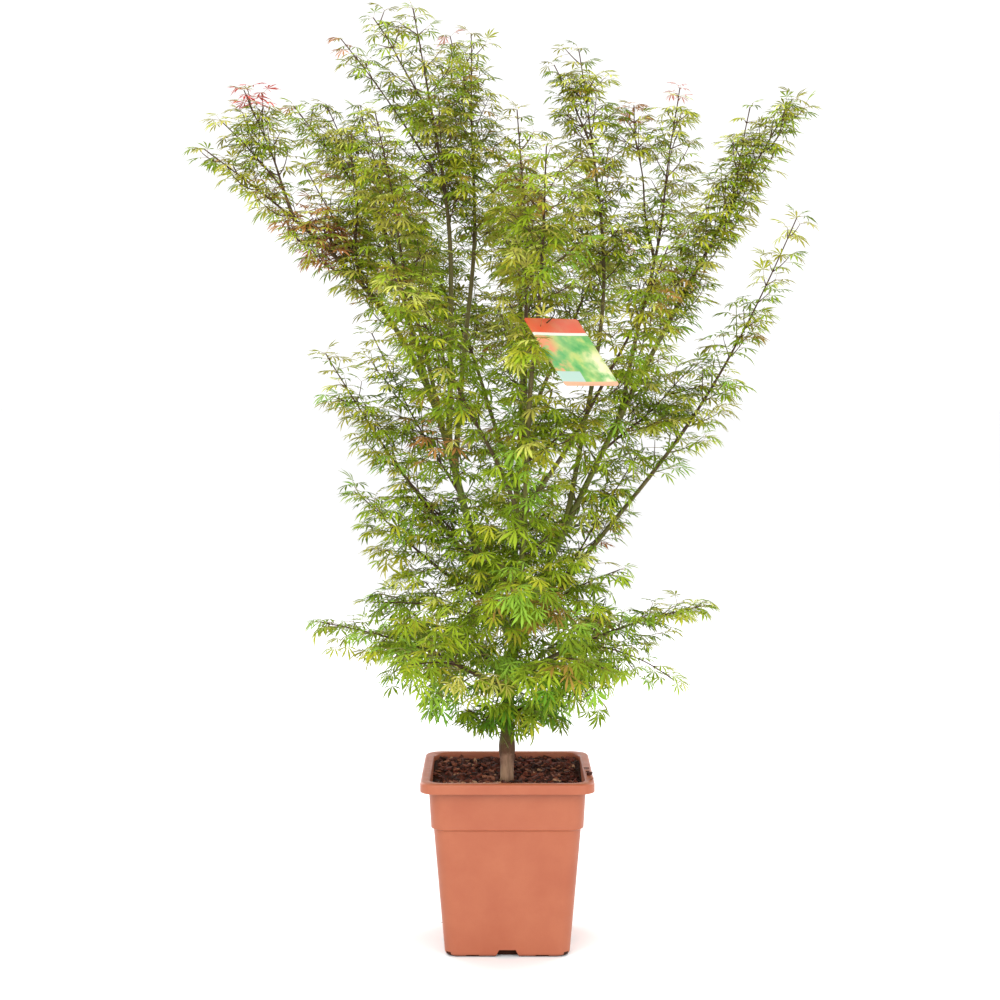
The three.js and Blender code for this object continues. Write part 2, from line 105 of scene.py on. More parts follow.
# Each bough: parent, share of the parent's length, tip, bow, radius at its foot, and the
# share at which it enters its foliage.
BOUGHS = {
    "left": ("trunk", 0.93, (-464, -92, 1216), (126, 14, -6), 6.8, 0.71),
    "right": ("trunk", 0.96, (442, -20, 1302), (-20, 6, -12), 5.8, 0.6),
    "centre": ("trunk", 0.985, (14, -96, 1274), (18, 14, 0), 5, 0.5),
    "back": ("trunk", 0.89, (24, 380, 1262), (4, -40, -10), 5.6, 0.6),
    "front": ("trunk", 0.88, (52, -374, 1186), (4, 12, 0), 5.2, 0.77),
    "right_low": ("trunk", 0.86, (457, 34, 1127), (10, 4, -50), 4.4, 0.52),
    "leader": ("left", 0.4, (-148, 24, 1448), (26, 0, 0), 4.8, 0.56),
    "left_tip": ("left", 0.86, (-399, -60, 1303), (4, 0, 0), 2.6, 0),
    "left_back": ("left", 0.515, (-300, 196, 1322), (18, -22, 0), 3.8, 0.36),
    "left_front": ("left", 0.447, (-190, -226, 1250), (-4, 22, 0), 3.8, 0.4),
    "left_low": ("left", 0.13, (-276, -66, 906), (-12, 0, 0), 3.4, 0.42),
    "left_mid": ("left", 0.076, (-229, -16, 690), (6, 0, -20), 3.6, 0.4),
    "inner_back": ("left", 0.358, (-58, 158, 1432), (14, -26, 0), 4.6, 0.52),
    "inner_right": ("right", 0.2, (112, 70, 1394), (48, -6, 0), 4.4, 0.54),
    "right_back": ("right", 0.42, (284, 178, 1346), (6, -22, 0), 3.6, 0.38),
    "right_front": ("front", 0.3, (228, -256, 1056), (18, 30, 0), 3.8, 0.46),
    "back_left": ("back", 0.3, (-182, 318, 1176), (14, -26, 0), 3.8, 0.46),
    "back_right": ("back", 0.38, (196, 330, 1130), (-10, -20, 0), 3.8, 0.42),
    "front_left": ("front", 0.26, (-160, -330, 1010), (12, 24, 0), 3.6, 0.44),
    "low_left": ("trunk", 0.6, (-290, -16, 492), (0, 0, 16), 3.6, 0.4),
    "low_right": ("trunk", 0.68, (302, 4, 514), (0, 0, 14), 3.6, 0.4),
    "low_front_left": ("trunk", 0.52, (-140, -196, 452), (0, 0, 26), 3.4, 0.3),
    "low_front_right": ("trunk", 0.62, (140, -190, 446), (0, 0, 28), 3.4, 0.3),
    "low_back_left": ("trunk", 0.64, (-146, 196, 462), (0, 0, 26), 3.4, 0.3),
    "low_back_right": ("trunk", 0.56, (142, 192, 456), (0, 0, 26), 3.4, 0.3),
}
LATE = {"left": 1.5, "right_low": 1.5}  # boughs that stand off the most past their middle
# Twigs too slight for a node of their own: parent, share of the parent's length, tip, bow
# and radius at the foot, and then the spray of leaves that the twig bears, in the columns
# of FOLIAGE below: the shares that it covers, its half widths, and how it grows.
TWIGS = {
    "leader_side": ("leader", 0.58, (-258, 6, 1392), (0, 0, 10), 2.2, 0.6, 1.06, 34, 24, "sparse"),
    "leader_top": ("leader", 0.72, (-206, -18, 1420), (0, 0, 8), 1.8, 0.5, 1.06, 30, 22, "sparse"),
    "front_fork": ("front", 0.6, (32, -350, 912), (0, 0, 8), 1.6, 0.3, 1.08, 40, 34, "open"),
    "inner_back_side": ("inner_back", 0.8, (-92, 140, 1420), (0, 0, 4), 1.8, 0.3, 1.06, 38, 30, "open"),
    "inner_top": ("inner_right", 0.78, (74, 60, 1360), (0, 0, 4), 1.8, 0.2, 1.06, 40, 32, "open"),
    "left_upper": ("left", 0.7, (-311, -30, 1192), (0, 0, 4), 1.8, 0.1, 1.08, 44, 34, "open"),
    "left_inner": ("left", 0.739, (-238, -30, 1240), (0, 0, 6), 1.8, 0.1, 1.08, 44, 34, "open"),
    "left_tip_out": ("left_tip", 0.22, (-432, -80, 1254), (0, 0, 4), 1.6, 0.2, 1.06, 36, 28, "open"),
    "left_outer": ("left", 0.3, (-206, -60, 936), (-6, 0, 0), 2.0, 0.1, 1.06, 48, 38, "open"),
    "left_back_out": ("left_back", 0.55, (-350, 190, 1314), (0, 0, 6), 2.0, 0.4, 1.06, 40, 30, "sparse"),
    "left_back_side": ("left_back", 0.5, (-238, 150, 1310), (0, 0, 8), 2.0, 0.2, 1.06, 44, 36, "open"),
    "right_back_side": ("right_back", 0.45, (204, 120, 1306), (-6, 0, 10), 2.2, 0.55, 1.06, 44, 36, "open"),
    "right_side": ("right", 0.8, (374, -10, 1284), (0, 0, 4), 1.8, 0.1, 1.06, 48, 38, "open"),
    "right_low_side": ("right_low", 0.14, (206, 16, 752), (0, 0, 4), 2.0, 0.1, 1.06, 46, 36, "open"),
    "left_waist": ("left", 0.15, (-176, -60, 738), (0, 0, 6), 2.0, 0.1, 1.06, 48, 40, "open"),
    "right_inner": ("right", 0.36, (296, 56, 890), (0, 0, -8), 2.0, 0.1, 1.06, 64, 56, "full"),
    "right_mid": ("right", 0.44, (206, -112, 950), (0, 0, -8), 2.0, 0.1, 1.06, 54, 44, "open"),
    "front_right": ("front", 0.4, (132, -170, 842), (0, 0, -8), 2.0, 0.1, 1.06, 50, 42, "open"),
    "front_inner": ("centre", 0.34, (64, -178, 850), (0, 0, -8), 2.0, 0.1, 1.06, 50, 42, "open"),
    "waist_left": ("left", 0.034, (-206, -34, 524), (0, 0, 12), 2.6, 0.1, 1.06, 70, 54, "flat"),
    "waist_right": ("right", 0.03, (174, -30, 574), (0, 0, 8), 2.4, 0.1, 1.06, 66, 50, "flat"),
    "waist_front": ("front", 0.03, (14, -206, 556), (0, 0, 14), 2.6, 0.1, 1.06, 72, 54, "flat"),
    "waist_back": ("back", 0.03, (-20, 208, 566), (0, 0, 14), 2.6, 0.1, 1.06, 72, 54, "flat"),
    "droop_front": ("low_front_right", 0.5, (128, -150, 382), (0, 0, 12), 1.6, 0.1, 1.08, 46, 38, "low"),
    "droop_middle": ("trunk", 0.44, (70, -60, 350), (0, 0, 12), 1.8, 0.1, 1.08, 38, 30, "low"),
    "droop_right": ("low_right", 0.34, (256, -34, 404), (0, 0, 16), 1.8, 0.05, 1.08, 32, 26, "sparse"),
    "droop_left": ("low_left", 0.4, (-172, -60, 420), (0, 0, 16), 1.8, 0.3, 1.08, 34, 26, "sparse"),
}
TWIG_CUT = 0.1  # the share at which a twig enters its leaves
BOUGH_TIP = 0.34  # radius at a bough's tip as a share of the radius at its foot
CROOK = 4  # how far a limb wanders to the side, and how often it does so
CROOK_TURNS = 1.5

# Each mass of foliage: its bough, the shares of it that it covers, its half widths
# (sideways, and in the plane in which the bough leans), and how it grows.
FOLIAGE = {
    "plume_left": ("left", 0.64, 1.02, 58, 46, "rising"),
    "plume_leader": ("leader", 0.5, 1.02, 60, 84, "full"),
    "plume_right": ("right", 0.56, 1.02, 58, 52, "rising"),
    "plume_right_low": ("right_low", 0.46, 1.04, 46, 36, "sparse"),
    "plume_left_tip": ("left_tip", 0.3, 1.08, 44, 38, "rising"),
    "plume_left_back": ("left_back", 0.3, 1.02, 62, 62, "full"),
    "plume_left_front": ("left_front", 0.34, 1.02, 58, 62, "open"),
    "plume_left_low": ("left_low", 0.36, 1.05, 58, 44, "open"),
    "plume_left_mid": ("left_mid", 0.34, 1.06, 66, 50, "full"),
    "plume_inner_back": ("inner_back", 0.46, 1.01, 60, 62, "full"),
    "plume_inner_right": ("inner_right", 0.48, 1.01, 58, 62, "full"),
    "plume_right_back": ("right_back", 0.32, 1.02, 54, 50, "sparse"),
    "plume_centre": ("centre", 0.42, 1.03, 58, 62, "open"),
    "plume_right_front": ("right_front", 0.4, 1.03, 60, 58, "open"),
    "plume_front": ("front", 0.71, 1.04, 66, 58, "full"),
    "plume_back": ("back", 0.54, 1.03, 66, 60, "full"),
    "plume_back_left": ("back_left", 0.4, 1.03, 60, 56, "full"),
    "plume_back_right": ("back_right", 0.36, 1.03, 60, 56, "full"),
    "plume_front_left": ("front_left", 0.38, 1.03, 60, 56, "full"),
    "spray_low_left": ("low_left", 0.32, 1.03, 70, 36, "flat"),
    "spray_low_right": ("low_right", 0.32, 1.03, 70, 38, "sparse"),
    "spray_low_front_left": ("low_front_left", 0.2, 1.05, 80, 68, "low"),
    "spray_low_front_right": ("low_front_right", 0.2, 1.05, 74, 62, "low"),
    "spray_low_back_left": ("low_back_left", 0.2, 1.05, 84, 76, "low"),
    "spray_low_back_right": ("low_back_right", 0.2, 1.05, 84, 76, "low"),
    "spray_skirt": ("trunk", 0.25, 0.5, 62, 58, "skirt"),
    "core_left": ("left", 0.06, 0.63, 66, 66, "core"),
    "core_right": ("right", 0.05, 0.55, 64, 70, "core"),
    "core_front": ("front", 0.07, 0.64, 66, 54, "core"),
    "core_back": ("back", 0.07, 0.53, 66, 54, "core"),
}
SPRAYS = {f"spray_{name}": (name, *row[5:]) for name, row in TWIGS.items()}
SPRAYS["spray_trunk"] = ("trunk", 0.3, 1.06, 84, 84, "low")
TRUNK_BARE = 0.3  # share of the trunk below which it has no shoots
TAPER = 0.15  # how much wider a mass is at its foot and narrower at its tip
BELLY = 0.35  # how much its lower end is squared out, from 0, which is an ellipse
LUMPS = (0.13, 0.09)  # its broad and its fine lumps, as shares of its half width

CARD = {"width": 100, "height": 128, "thick": 1.2, "corner": 4, "hole": 3.2}
CARD_HOLE = (-13, 54)  # across and up from the card's middle
CARD_PLACE = (88, -300, 902)
CARD_YAW = math.radians(40)
CARD_TILT = math.radians(43)
# How far leaves keep off the card: beside it, beyond its left edge, and behind it.
CARD_CLEAR = {"side": 5, "left": -24, "behind": 12}


# ---- Small helpers ---------------------------------------------------------------------

def lerp(a, b, share):
    return a + (b - a) * share


def clamp(value, low=0.0, high=1.0):
    return max(low, min(high, value))


def smooth(value):
    value = clamp(value)
    return value * value * (3 - 2 * value)


def metres(numbers):
    return Vector(numbers) * MM


def linear(code):
    """A colour written as #rrggbb, as the shader's linear numbers."""
    shares = [int(code[i : i + 2], 16) / 255 for i in (1, 3, 5)]
    return [s / 12.92 if s <= 0.04045 else ((s + 0.055) / 1.055) ** 2.4 for s in shares]


def new_mesh(name, points, faces, materials, numbers=None, rounded=True):
    """A mesh object; numbers gives each face's place in the list of materials."""
    mesh = bpy.data.meshes.new(name)
    mesh.from_pydata([tuple(p) for p in points], [], [tuple(f) for f in faces])
    for material in materials:
        mesh.materials.append(material)
    if numbers is not None:
        mesh.polygons.foreach_set("material_index", np.asarray(numbers, np.int32))
    mesh.polygons.foreach_set("use_smooth", np.full(len(mesh.polygons), rounded))
    mesh.update()
    piece = bpy.data.objects.new(name, mesh)
    bpy.context.scene.collection.objects.link(piece)
    return piece


def place(piece, slot, *nodes):
    """Puts a finished piece on the plant, in place of the model's plain nodes."""
    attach(piece, BODY)
    if nodes:
        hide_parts(*nodes)


def apply_modifiers(piece):
    """Makes what the modifiers show the piece's own mesh."""
    graph = bpy.context.evaluated_depsgraph_get()
    mesh = bpy.data.meshes.new_from_object(piece.evaluated_get(graph), depsgraph=graph)
    piece.modifiers.clear()
    piece.data = mesh


# ---- Materials -------------------------------------------------------------------------

def plain(name, colour, roughness, specular=0.5):
    """One flat base colour: for the many small things that are told apart by tint."""
    material = bpy.data.materials.new(name)
    material.use_nodes = True
    shader = material.node_tree.nodes["Principled BSDF"]
    shader.inputs["Base Color"].default_value = (*linear(colour), 1)
    shader.inputs["Roughness"].default_value = roughness
    shader.inputs["Specular IOR Level"].default_value = specular
    return material


class Recipe:
    """A material made of nodes, built up by short calls."""

    def __init__(self, name, specular=0.5):
        self.material = bpy.data.materials.new(name)
        self.material.use_nodes = True
        self.tree = self.material.node_tree
        self.shader = self.tree.nodes["Principled BSDF"]
        self.shader.inputs["Specular IOR Level"].default_value = specular

    def add(self, kind, **inputs):
        made = self.tree.nodes.new(kind)
        for name, value in inputs.items():
            self.feed(made, name.replace("_", " "), value)
        return made

    def feed(self, made, name, value):
        if isinstance(value, bpy.types.NodeSocket):
            self.tree.links.new(value, made.inputs[name])
        else:
            made.inputs[name].default_value = value

    def coordinates(self):
        return self.add("ShaderNodeTexCoord").outputs["Object"]

    def attribute(self, name, output="Fac"):
        made = self.add("ShaderNodeAttribute")
        made.attribute_name = name
        return made.outputs[output]

    def noise(self, vector, scale, detail=3.0, roughness=0.55):
        made = self.add("ShaderNodeTexNoise", Vector=vector, Scale=scale, Detail=detail)
        made.inputs["Roughness"].default_value = roughness
        return made.outputs["Fac"]

    def stretch(self, vector, factors):
        made = self.add("ShaderNodeVectorMath")
        made.operation = "MULTIPLY"
        self.tree.links.new(vector, made.inputs[0])
        made.inputs[1].default_value = factors
        return made.outputs["Vector"]

    def math(self, operation, first, second):
        made = self.tree.nodes.new("ShaderNodeMath")
        made.operation = operation
        self.feed(made, 0, first)
        self.feed(made, 1, second)
        return made.outputs["Value"]

    def above(self, value, limit):
        return self.math("GREATER_THAN", value, limit)

    def below(self, value, limit):
        return self.math("LESS_THAN", value, limit)

    def between(self, value, low, high, new_low=0.0, new_high=1.0):
        made = self.add("ShaderNodeMapRange", Value=value, From_Min=low, From_Max=high)
        made.inputs["To Min"].default_value = new_low
        made.inputs["To Max"].default_value = new_high
        return made.outputs["Result"]

    def ramp(self, value, stops):
        made = self.add("ShaderNodeValToRGB", Fac=value)
        marks = made.color_ramp.elements
        while len(marks) < len(stops):
            marks.new(0.5)
        for mark, (position, colour) in zip(marks, stops):
            mark.position = position
            mark.color = (*linear(colour), 1)
        return made.outputs["Color"]

    def mix(self, share, first, second):
        made = self.tree.nodes.new("ShaderNodeMix")
        made.data_type = "RGBA"
        colours = [s for s in made.inputs if s.type == "RGBA"]
        self.feed(made, 0, share)
        for socket, value in zip(colours, (first, second)):
            if isinstance(value, str):
                socket.default_value = (*linear(value), 1)
            else:
                self.tree.links.new(value, socket)
        return [s for s in made.outputs if s.type == "RGBA"][0]

    def bump(self, height, distance, strength=1.0, normal=None):
        made = self.add("ShaderNodeBump", Height=height, Distance=distance, Strength=strength)
        if normal is not None:
            self.tree.links.new(normal, made.inputs["Normal"])
        return made.outputs["Normal"]

    def finish(self, colour, roughness, normal=None):
        self.tree.links.new(colour, self.shader.inputs["Base Color"])
        self.feed(self.shader, "Roughness", roughness)
        if normal is not None:
            self.tree.links.new(normal, self.shader.inputs["Normal"])
        return self.material


FOOT_SHADE_EDGE = (0.001, 0.0045)  # heights between which the painted shade on the pot's foot fades


def pot_plastic():
    """Moulded terracotta plastic: satin, faintly clouded, with a fine grain, and painted shade darkening
    its lowest few mm.
    """
    recipe = Recipe("pot_plastic", specular=0.45)
    where = recipe.coordinates()
    cloud = recipe.noise(where, 14, 4, 0.6)
    colour = recipe.mix(recipe.between(cloud, 0.35, 0.65), "#9f5437", "#a75e3f")
    grain = recipe.noise(where, 900, 2)
    colour = recipe.mix(recipe.between(grain, 0.3, 0.7, 0, 0.25), colour, "#954b31")
    # Painted shade: over its lowest few mm the pot darkens to a dark brown, standing in for the shade where
    # its foot meets the floor.
    height = recipe.add("ShaderNodeSeparateXYZ", Vector=where).outputs["Z"]
    foot_shade = recipe.between(height, *FOOT_SHADE_EDGE, 0.8, 0)
    colour = recipe.mix(foot_shade, colour, "#4a2413")
    streak = recipe.noise(recipe.stretch(where, (60, 60, 6)), 1, 3)
    roughness = recipe.between(streak, 0.3, 0.7, 0.36, 0.5)
    normal = recipe.bump(grain, 0.00012)
    normal = recipe.bump(recipe.noise(where, 35, 2), 0.0009, 0.5, normal)
    return recipe.finish(colour, roughness, normal)


def compost():
    """The dark, crumbly ground between the chips."""
    recipe = Recipe("compost", specular=0.25)
    where = recipe.coordinates()
    crumbs = recipe.noise(where, 320, 5, 0.7)
    colour = recipe.ramp(crumbs, [(0.3, "#1c0a04"), (0.5, "#38190c"), (0.7, "#59301c")])
    return recipe.finish(colour, 0.95, recipe.bump(crumbs, 0.004))


# Colours along the bark: from the foot of the trunk, past the graft, to the thin tips.
BARK = [
    (0.0, "#a8876a"),
    (0.035, "#93705a"),
    (0.06, "#5f3d29"),
    (0.1, "#5a3f22"),
    (0.125, "#68671f"),
    (0.17, "#728226"),
    (0.5, "#74813a"),
    (0.66, "#6b6a30"),
    (0.82, "#4c3a24"),
    (1.0, "#42251a"),
]


def bark():
    """Smooth young bark, streaked along the limb, with pale pores and fine ridges."""
    recipe = Recipe("bark", specular=0.35)
    grain = recipe.attribute("grain", "Vector")
    age = recipe.attribute("age")
    streaks = recipe.noise(recipe.stretch(grain, (1, 1, 0.12)), 260, 4, 0.6)
    wander = recipe.noise(grain, 40, 3)
    shifted = recipe.math("ADD", age, recipe.between(wander, 0, 1, -0.07, 0.07))
    colour = recipe.ramp(shifted, BARK)
    dark = recipe.between(streaks, 0.42, 0.62, 0.0, 0.38)
    colour = recipe.mix(dark, colour, "#3c2f1c")
    pores = recipe.noise(recipe.stretch(grain, (1, 1, 0.5)), 900, 1)
    colour = recipe.mix(recipe.between(pores, 0.66, 0.74, 0, 0.5), colour, "#a79a78")
    normal = recipe.bump(streaks, 0.0006)
    return recipe.finish(colour, recipe.between(streaks, 0.3, 0.7, 0.55, 0.8), normal)


# The card's layout, in mm across and up from its middle.
CARD_RULE = (30.5, 36)  # the white rule, with the orange band above it
CARD_FOOT = -57  # the peach foot lies below it
CARD_PANEL = (-8, -38)  # the pale panel lies to the left of it and below it


def card_print():
    """A plain sale card: an orange band, a white rule, a green field clouded with soft
    leaf shapes, a pale panel and a peach foot."""
    recipe = Recipe("card_print", specular=0.5)
    drawn = recipe.attribute("print", "Vector")
    split = recipe.add("ShaderNodeSeparateXYZ", Vector=drawn)
    x, y = split.outputs["X"], split.outputs["Y"]
    blot = recipe.noise(drawn, 0.035, 4)
    leafy = recipe.ramp(blot, [(0.38, "#479753"), (0.5, "#72ac61"), (0.62, "#adbc6b")])
    cells = recipe.add("ShaderNodeTexVoronoi", Vector=recipe.stretch(drawn, (1, 0.45, 1)), Scale=0.05)
    veil = recipe.between(cells.outputs["Distance"], 0.1, 0.55, 0.55, 0)
    leafy = recipe.mix(veil, leafy, "#c9c477")
    pale = recipe.math("MULTIPLY", recipe.between(x, 6, 34), recipe.between(y, 8, -14))
    pale = recipe.math("MULTIPLY", pale, recipe.between(blot, 0.4, 0.6))
    leafy = recipe.mix(pale, leafy, "#dcd8ae")
    bloom = recipe.math("MULTIPLY", recipe.between(x, -14, -34), recipe.between(blot, 0.46, 0.54))
    leafy = recipe.mix(bloom, leafy, "#d58a63")
    panel = recipe.math("MULTIPLY", recipe.below(x, CARD_PANEL[0]), recipe.below(y, CARD_PANEL[1]))
    leafy = recipe.mix(panel, leafy, "#a3bdb2")
    band = recipe.mix(recipe.between(blot, 0.4, 0.62), "#cf5333", "#c96a45")
    colour = recipe.mix(recipe.above(y, CARD_RULE[0]), leafy, "#d9d6cc")
    colour = recipe.mix(recipe.above(y, CARD_RULE[1]), colour, band)
    colour = recipe.mix(recipe.below(y, CARD_FOOT), colour, "#cf9c7c")
    return recipe.finish(colour, recipe.between(blot, 0.3, 0.7, 0.28, 0.36))


def card_back():
    """The unprinted back, a little mottled."""
    recipe = Recipe("card_back", specular=0.5)
    mottle = recipe.noise(recipe.coordinates(), 60, 3)
    colour = recipe.mix(recipe.between(mottle, 0.3, 0.7), "#b9bda6", "#a9ae94")
    return recipe.finish(colour, 0.4)


def string_fibre():
    """Dark green string with fine fibres."""
    recipe = Recipe("string_fibre", specular=0.25)
    fibre = recipe.noise(recipe.coordinates(), 2600, 3, 0.7)
    colour = recipe.ramp(fibre, [(0.35, "#141c0f"), (0.65, "#303c22")])
    return recipe.finish(colour, 0.85, recipe.bump(fibre, 0.0003))


LEAF_TINTS = {
    "deep": "#708619",
    "leaf": "#8da323",
    "yellow": "#a5a92a",
    "light": "#c2c65c",
    "fresh": "#86ab36",
    "olive": "#8f8c22",
    "khaki": "#aeaa4a",
    "bronze": "#967a34",
    "rust": "#b07748",
    "orange": "#be8a4c",
    "red": "#cc5a52",
    "pink": "#d89490",
    "grass": "#5d8a20",
}
TWIG_TINTS = {"green": "#6b7430", "brown": "#4d3524"}
PETIOLE = "#8f7a48"


# ---- Limbs -----------------------------------------------------------------------------

TIP_RADIUS = 0.9 * MM
TAPER_END = 1.02  # where the taper would reach that radius, as a share of the limb
WOOD_END = 0.99  # the last leaves reach from there to the model's tip
NEARBY = 0.01  # share of a limb over which its direction is taken


class Limb:
    """The centre line of the trunk or a bough, as the model has it."""

    def __init__(self, name, foot, tip, bow, radius, cut):
        self.name = name
        self.foot, self.tip, self.bow = foot, tip, bow
        self.radius, self.cut = radius, cut
        line = tip - foot
        heading = math.atan2(line.y, line.x)
        self.side = Vector((-math.sin(heading), math.cos(heading), 0))
        self.span = line.length
        self.late = LATE.get(name, 1)
        self.end = 1 if name == "trunk" else WOOD_END

    def at(self, share):
        swell = math.sin(math.pi * clamp(share) ** self.late)
        crook = CROOK * MM * swell * math.sin(2 * math.pi * CROOK_TURNS * share)
        return self.foot + (self.tip - self.foot) * share + self.bow * swell + self.side * crook

    def axes(self, share):
        """Along the limb, sideways, and across it in the plane in which it leans."""
        along = (self.at(share + NEARBY) - self.at(share - NEARBY)).normalized()
        sideways = (self.side - along * self.side.dot(along)).normalized()
        return along, sideways, along.cross(sideways)

    def thickness(self, share):
        """The model's radius as far as the foliage, and then a finer taper to the tip."""
        solid = self.radius * lerp(1, BOUGH_TIP, share)
        return lerp(solid, TIP_RADIUS, smooth((share - self.cut) / (TAPER_END - self.cut)))


class Trunk(Limb):
    def thickness(self, share):
        height = share * (TRUNK_TOP[2] - SOIL_TOP)
        flare = TRUNK["flare"] * math.exp(-height / TRUNK["flare_height"])
        graft = GRAFT["swell"] * math.exp(-(((height - GRAFT["height"]) / GRAFT["width"]) ** 2))
        return (lerp(TRUNK["foot"], TRUNK["end"], share) + flare + graft) * MM


def make_limbs():
    foot, tip, bow = metres(TRUNK_FOOT), metres(TRUNK_TOP), metres(TRUNK_BOW)
    limbs = {"trunk": Trunk("trunk", foot, tip, bow, TRUNK["foot"] * MM, 1)}
    twigs = {name: (*row[:5], TWIG_CUT) for name, row in TWIGS.items()}
    for name, (parent, share, end, bend, radius, cut) in (BOUGHS | twigs).items():
        start = limbs[parent].at(share)
        limbs[name] = Limb(name, start, metres(end), metres(bend), radius * MM, cut)
    return limbs


RING_GAP = 5 * MM
LEAST_RINGS = 8
SIDES = {"trunk": 24, "bough": 10, "twig": 7}
COLLAR = 0.5  # how much a bough is swollen where it leaves its parent
COLLAR_REACH = 13 * MM
BUD_RINGS = 38 * MM  # spacing of the rings that old buds leave
BUD_RING = (0.09, 24)  # how far such a ring stands off, and how sharp it is
# Ridges along the bark: how far they stand off, and how much finer the second kind is.
RIDGES = (0.07, 0.035)
FINER = 2.7
RIDGE_TURNS = 2.2  # how fast the ridges change round the limb
RIDGE_LENGTH = 22 * MM


def limb_rings(limb):
    """Shares at which the limb has a ring, closer together than the bark's ridges."""
    count = max(LEAST_RINGS, round(limb.span / RING_GAP))
    return [i / count * limb.end for i in range(count + 1)]


def relief(limb, share, angle):
    """How far the bark stands off the plain radius there, as a share of it."""
    length = share * limb.span
    around = (math.cos(angle) * RIDGE_TURNS, math.sin(angle) * RIDGE_TURNS)
    spot = Vector((*around, length / RIDGE_LENGTH))
    spot += Vector((0, 0, len(limb.name) * 7.3 + limb.radius / MM))  # no two limbs alike
    ridges = RIDGES[0] * noise.noise(spot) + RIDGES[1] * noise.noise(spot * FINER)
    ring = BUD_RING[0] * max(0.0, math.cos(length / BUD_RINGS * 2 * math.pi)) ** BUD_RING[1]
    collar = 0 if limb.name == "trunk" else COLLAR * math.exp(-length / COLLAR_REACH)
    return 1 + ridges + ring + collar


TRUNK_AGE = 0.4  # where the trunk ends on the scale of the bark's colours
THINNEST, AGE_SPAN = 1, 5.6  # radius in mm of the youngest wood, and how much more the oldest has


def limb_age(limb, share, radius):
    """0 at the foot of the trunk and 1 on the thinnest wood."""
    if limb.name == "trunk":
        return TRUNK_AGE * share
    return TRUNK_AGE + (1 - TRUNK_AGE) * clamp(1 - (radius / MM - THINNEST) / AGE_SPAN)


def make_limb(limb, material):
    trunk = limb.name == "trunk"
    sides = SIDES["trunk" if trunk else "twig" if limb.name in TWIGS else "bough"]
    sunk = UP * (TRUNK_SUNK * MM if trunk else 0)
    points, ages, grain = [], [], []
    shares = limb_rings(limb)
    for share in shares:
        _, sideways, leaning = limb.axes(share)
        centre = limb.at(share)
        radius = limb.thickness(share)
        for side in range(sides):
            angle = 2 * math.pi * side / sides
            out = sideways * math.cos(angle) + leaning * math.sin(angle)
            point = centre + out * radius * relief(limb, share, angle)
            if share == 0 and trunk:
                point.z = limb.foot.z - sunk.z
            points.append(point)
            ages.append(limb_age(limb, share, radius))
            grain.append((*(out * radius), share * limb.span))
    faces = tube_faces(len(shares), sides)
    tip = limb.at(limb.end) + limb.axes(limb.end)[0] * limb.thickness(limb.end)
    points += [limb.at(0) - sunk, tip]
    ages += [ages[0], ages[-1]]
    grain += [(0, 0, 0, 0), (0, 0, 0, limb.span)]
    last = len(shares) * sides
    for side in range(sides):
        after = (side + 1) % sides
        faces.append((after, side, last))
        faces.append((last - sides + side, last - sides + after, last + 1))
    piece = new_mesh("trunk_bark" if trunk else f"limb_{limb.name}", points, faces, [material])
    write_bark(piece.data, ages, grain)
    return piece


GRAIN_SHEAR = 0.3  # how much the pattern is shifted along by height round the limb


def write_bark(mesh, ages, grain):
    """The bark's pattern is laid out along and round the limb, so that it follows it."""
    age = mesh.attributes.new("age", "FLOAT", "POINT")
    age.data.foreach_set("value", np.array(ages, np.float32))
    vectors = mesh.attributes.new("grain", "FLOAT_VECTOR", "POINT")
    rows = [(x, y, length + z * GRAIN_SHEAR) for x, y, z, length in grain]
    vectors.data.foreach_set("vector", np.array(rows, np.float32).ravel())


def tube_faces(rings, sides):
    return [
        (
            ring * sides + side,
            ring * sides + (side + 1) % sides,
            (ring + 1) * sides + (side + 1) % sides,
            (ring + 1) * sides + side,
        )
        for ring in range(rings - 1)
        for side in range(sides)
    ]


def make_bark(limbs):
    material = bark()
    for name, limb in limbs.items():
        piece = make_limb(limb, material)
        if name == "trunk":
            place(piece, "trunk_bark", "trunk")
        elif name in TWIGS:
            place(piece, "bough_bark")
        elif limb.cut > 0:
            place(piece, "bough_bark", f"bough_{name}")
        else:
            place(piece, "bough_bark", f"plume_{name}")


# ---- Leaves ----------------------------------------------------------------------------

LOBE = 30 * MM  # length of a leaf's middle lobe
STALK = 17 * MM
STALK_RADIUS = 0.45 * MM
# Where along a lobe its edge is drawn, and the half width there as a share of the widest.
LOBE_STATIONS = [(0.3, 0.64), (0.62, 1.0)]
LOBE_WIDTH = 0.08  # half width of a lobe as a share of its length
# How lobes differ: in width, and as shares of their length in how far they arch down, how
# steeply they are folded, and how far they sway to a side.
LOBE_SPANS = {"width": (0.85, 1.2), "arch": (0.08, 0.34), "fold": (0.25, 0.6), "sway": (-0.07, 0.07)}
# How a leaf's lobes are set: their angle is stretched and shifted, and they are lengthened
# and rolled. Angles are in degrees.
LEAF_SPANS = {"stretch": (0.9, 1.12), "shift": (-4, 4), "length": (0.9, 1.1), "roll": (-9, 9)}
# Each lobe of a leaf with five or seven: its angle in degrees and its share of the length.
LOBES = {
    5: [(0, 1.0), (36, 0.93), (-36, 0.93), (76, 0.68), (-76, 0.68)],
    7: [(0, 1.0), (30, 0.96), (-30, 0.96), (62, 0.8), (-62, 0.8), (100, 0.46), (-100, 0.46)],
}
PITCHES = [8, 26, 48, 74]  # how steeply the blade hangs from its stalk, in degrees
SHAPES_PER_PITCH = 4
BLADE, STEM = 0, 1  # the parts of a leaf, which have materials of their own


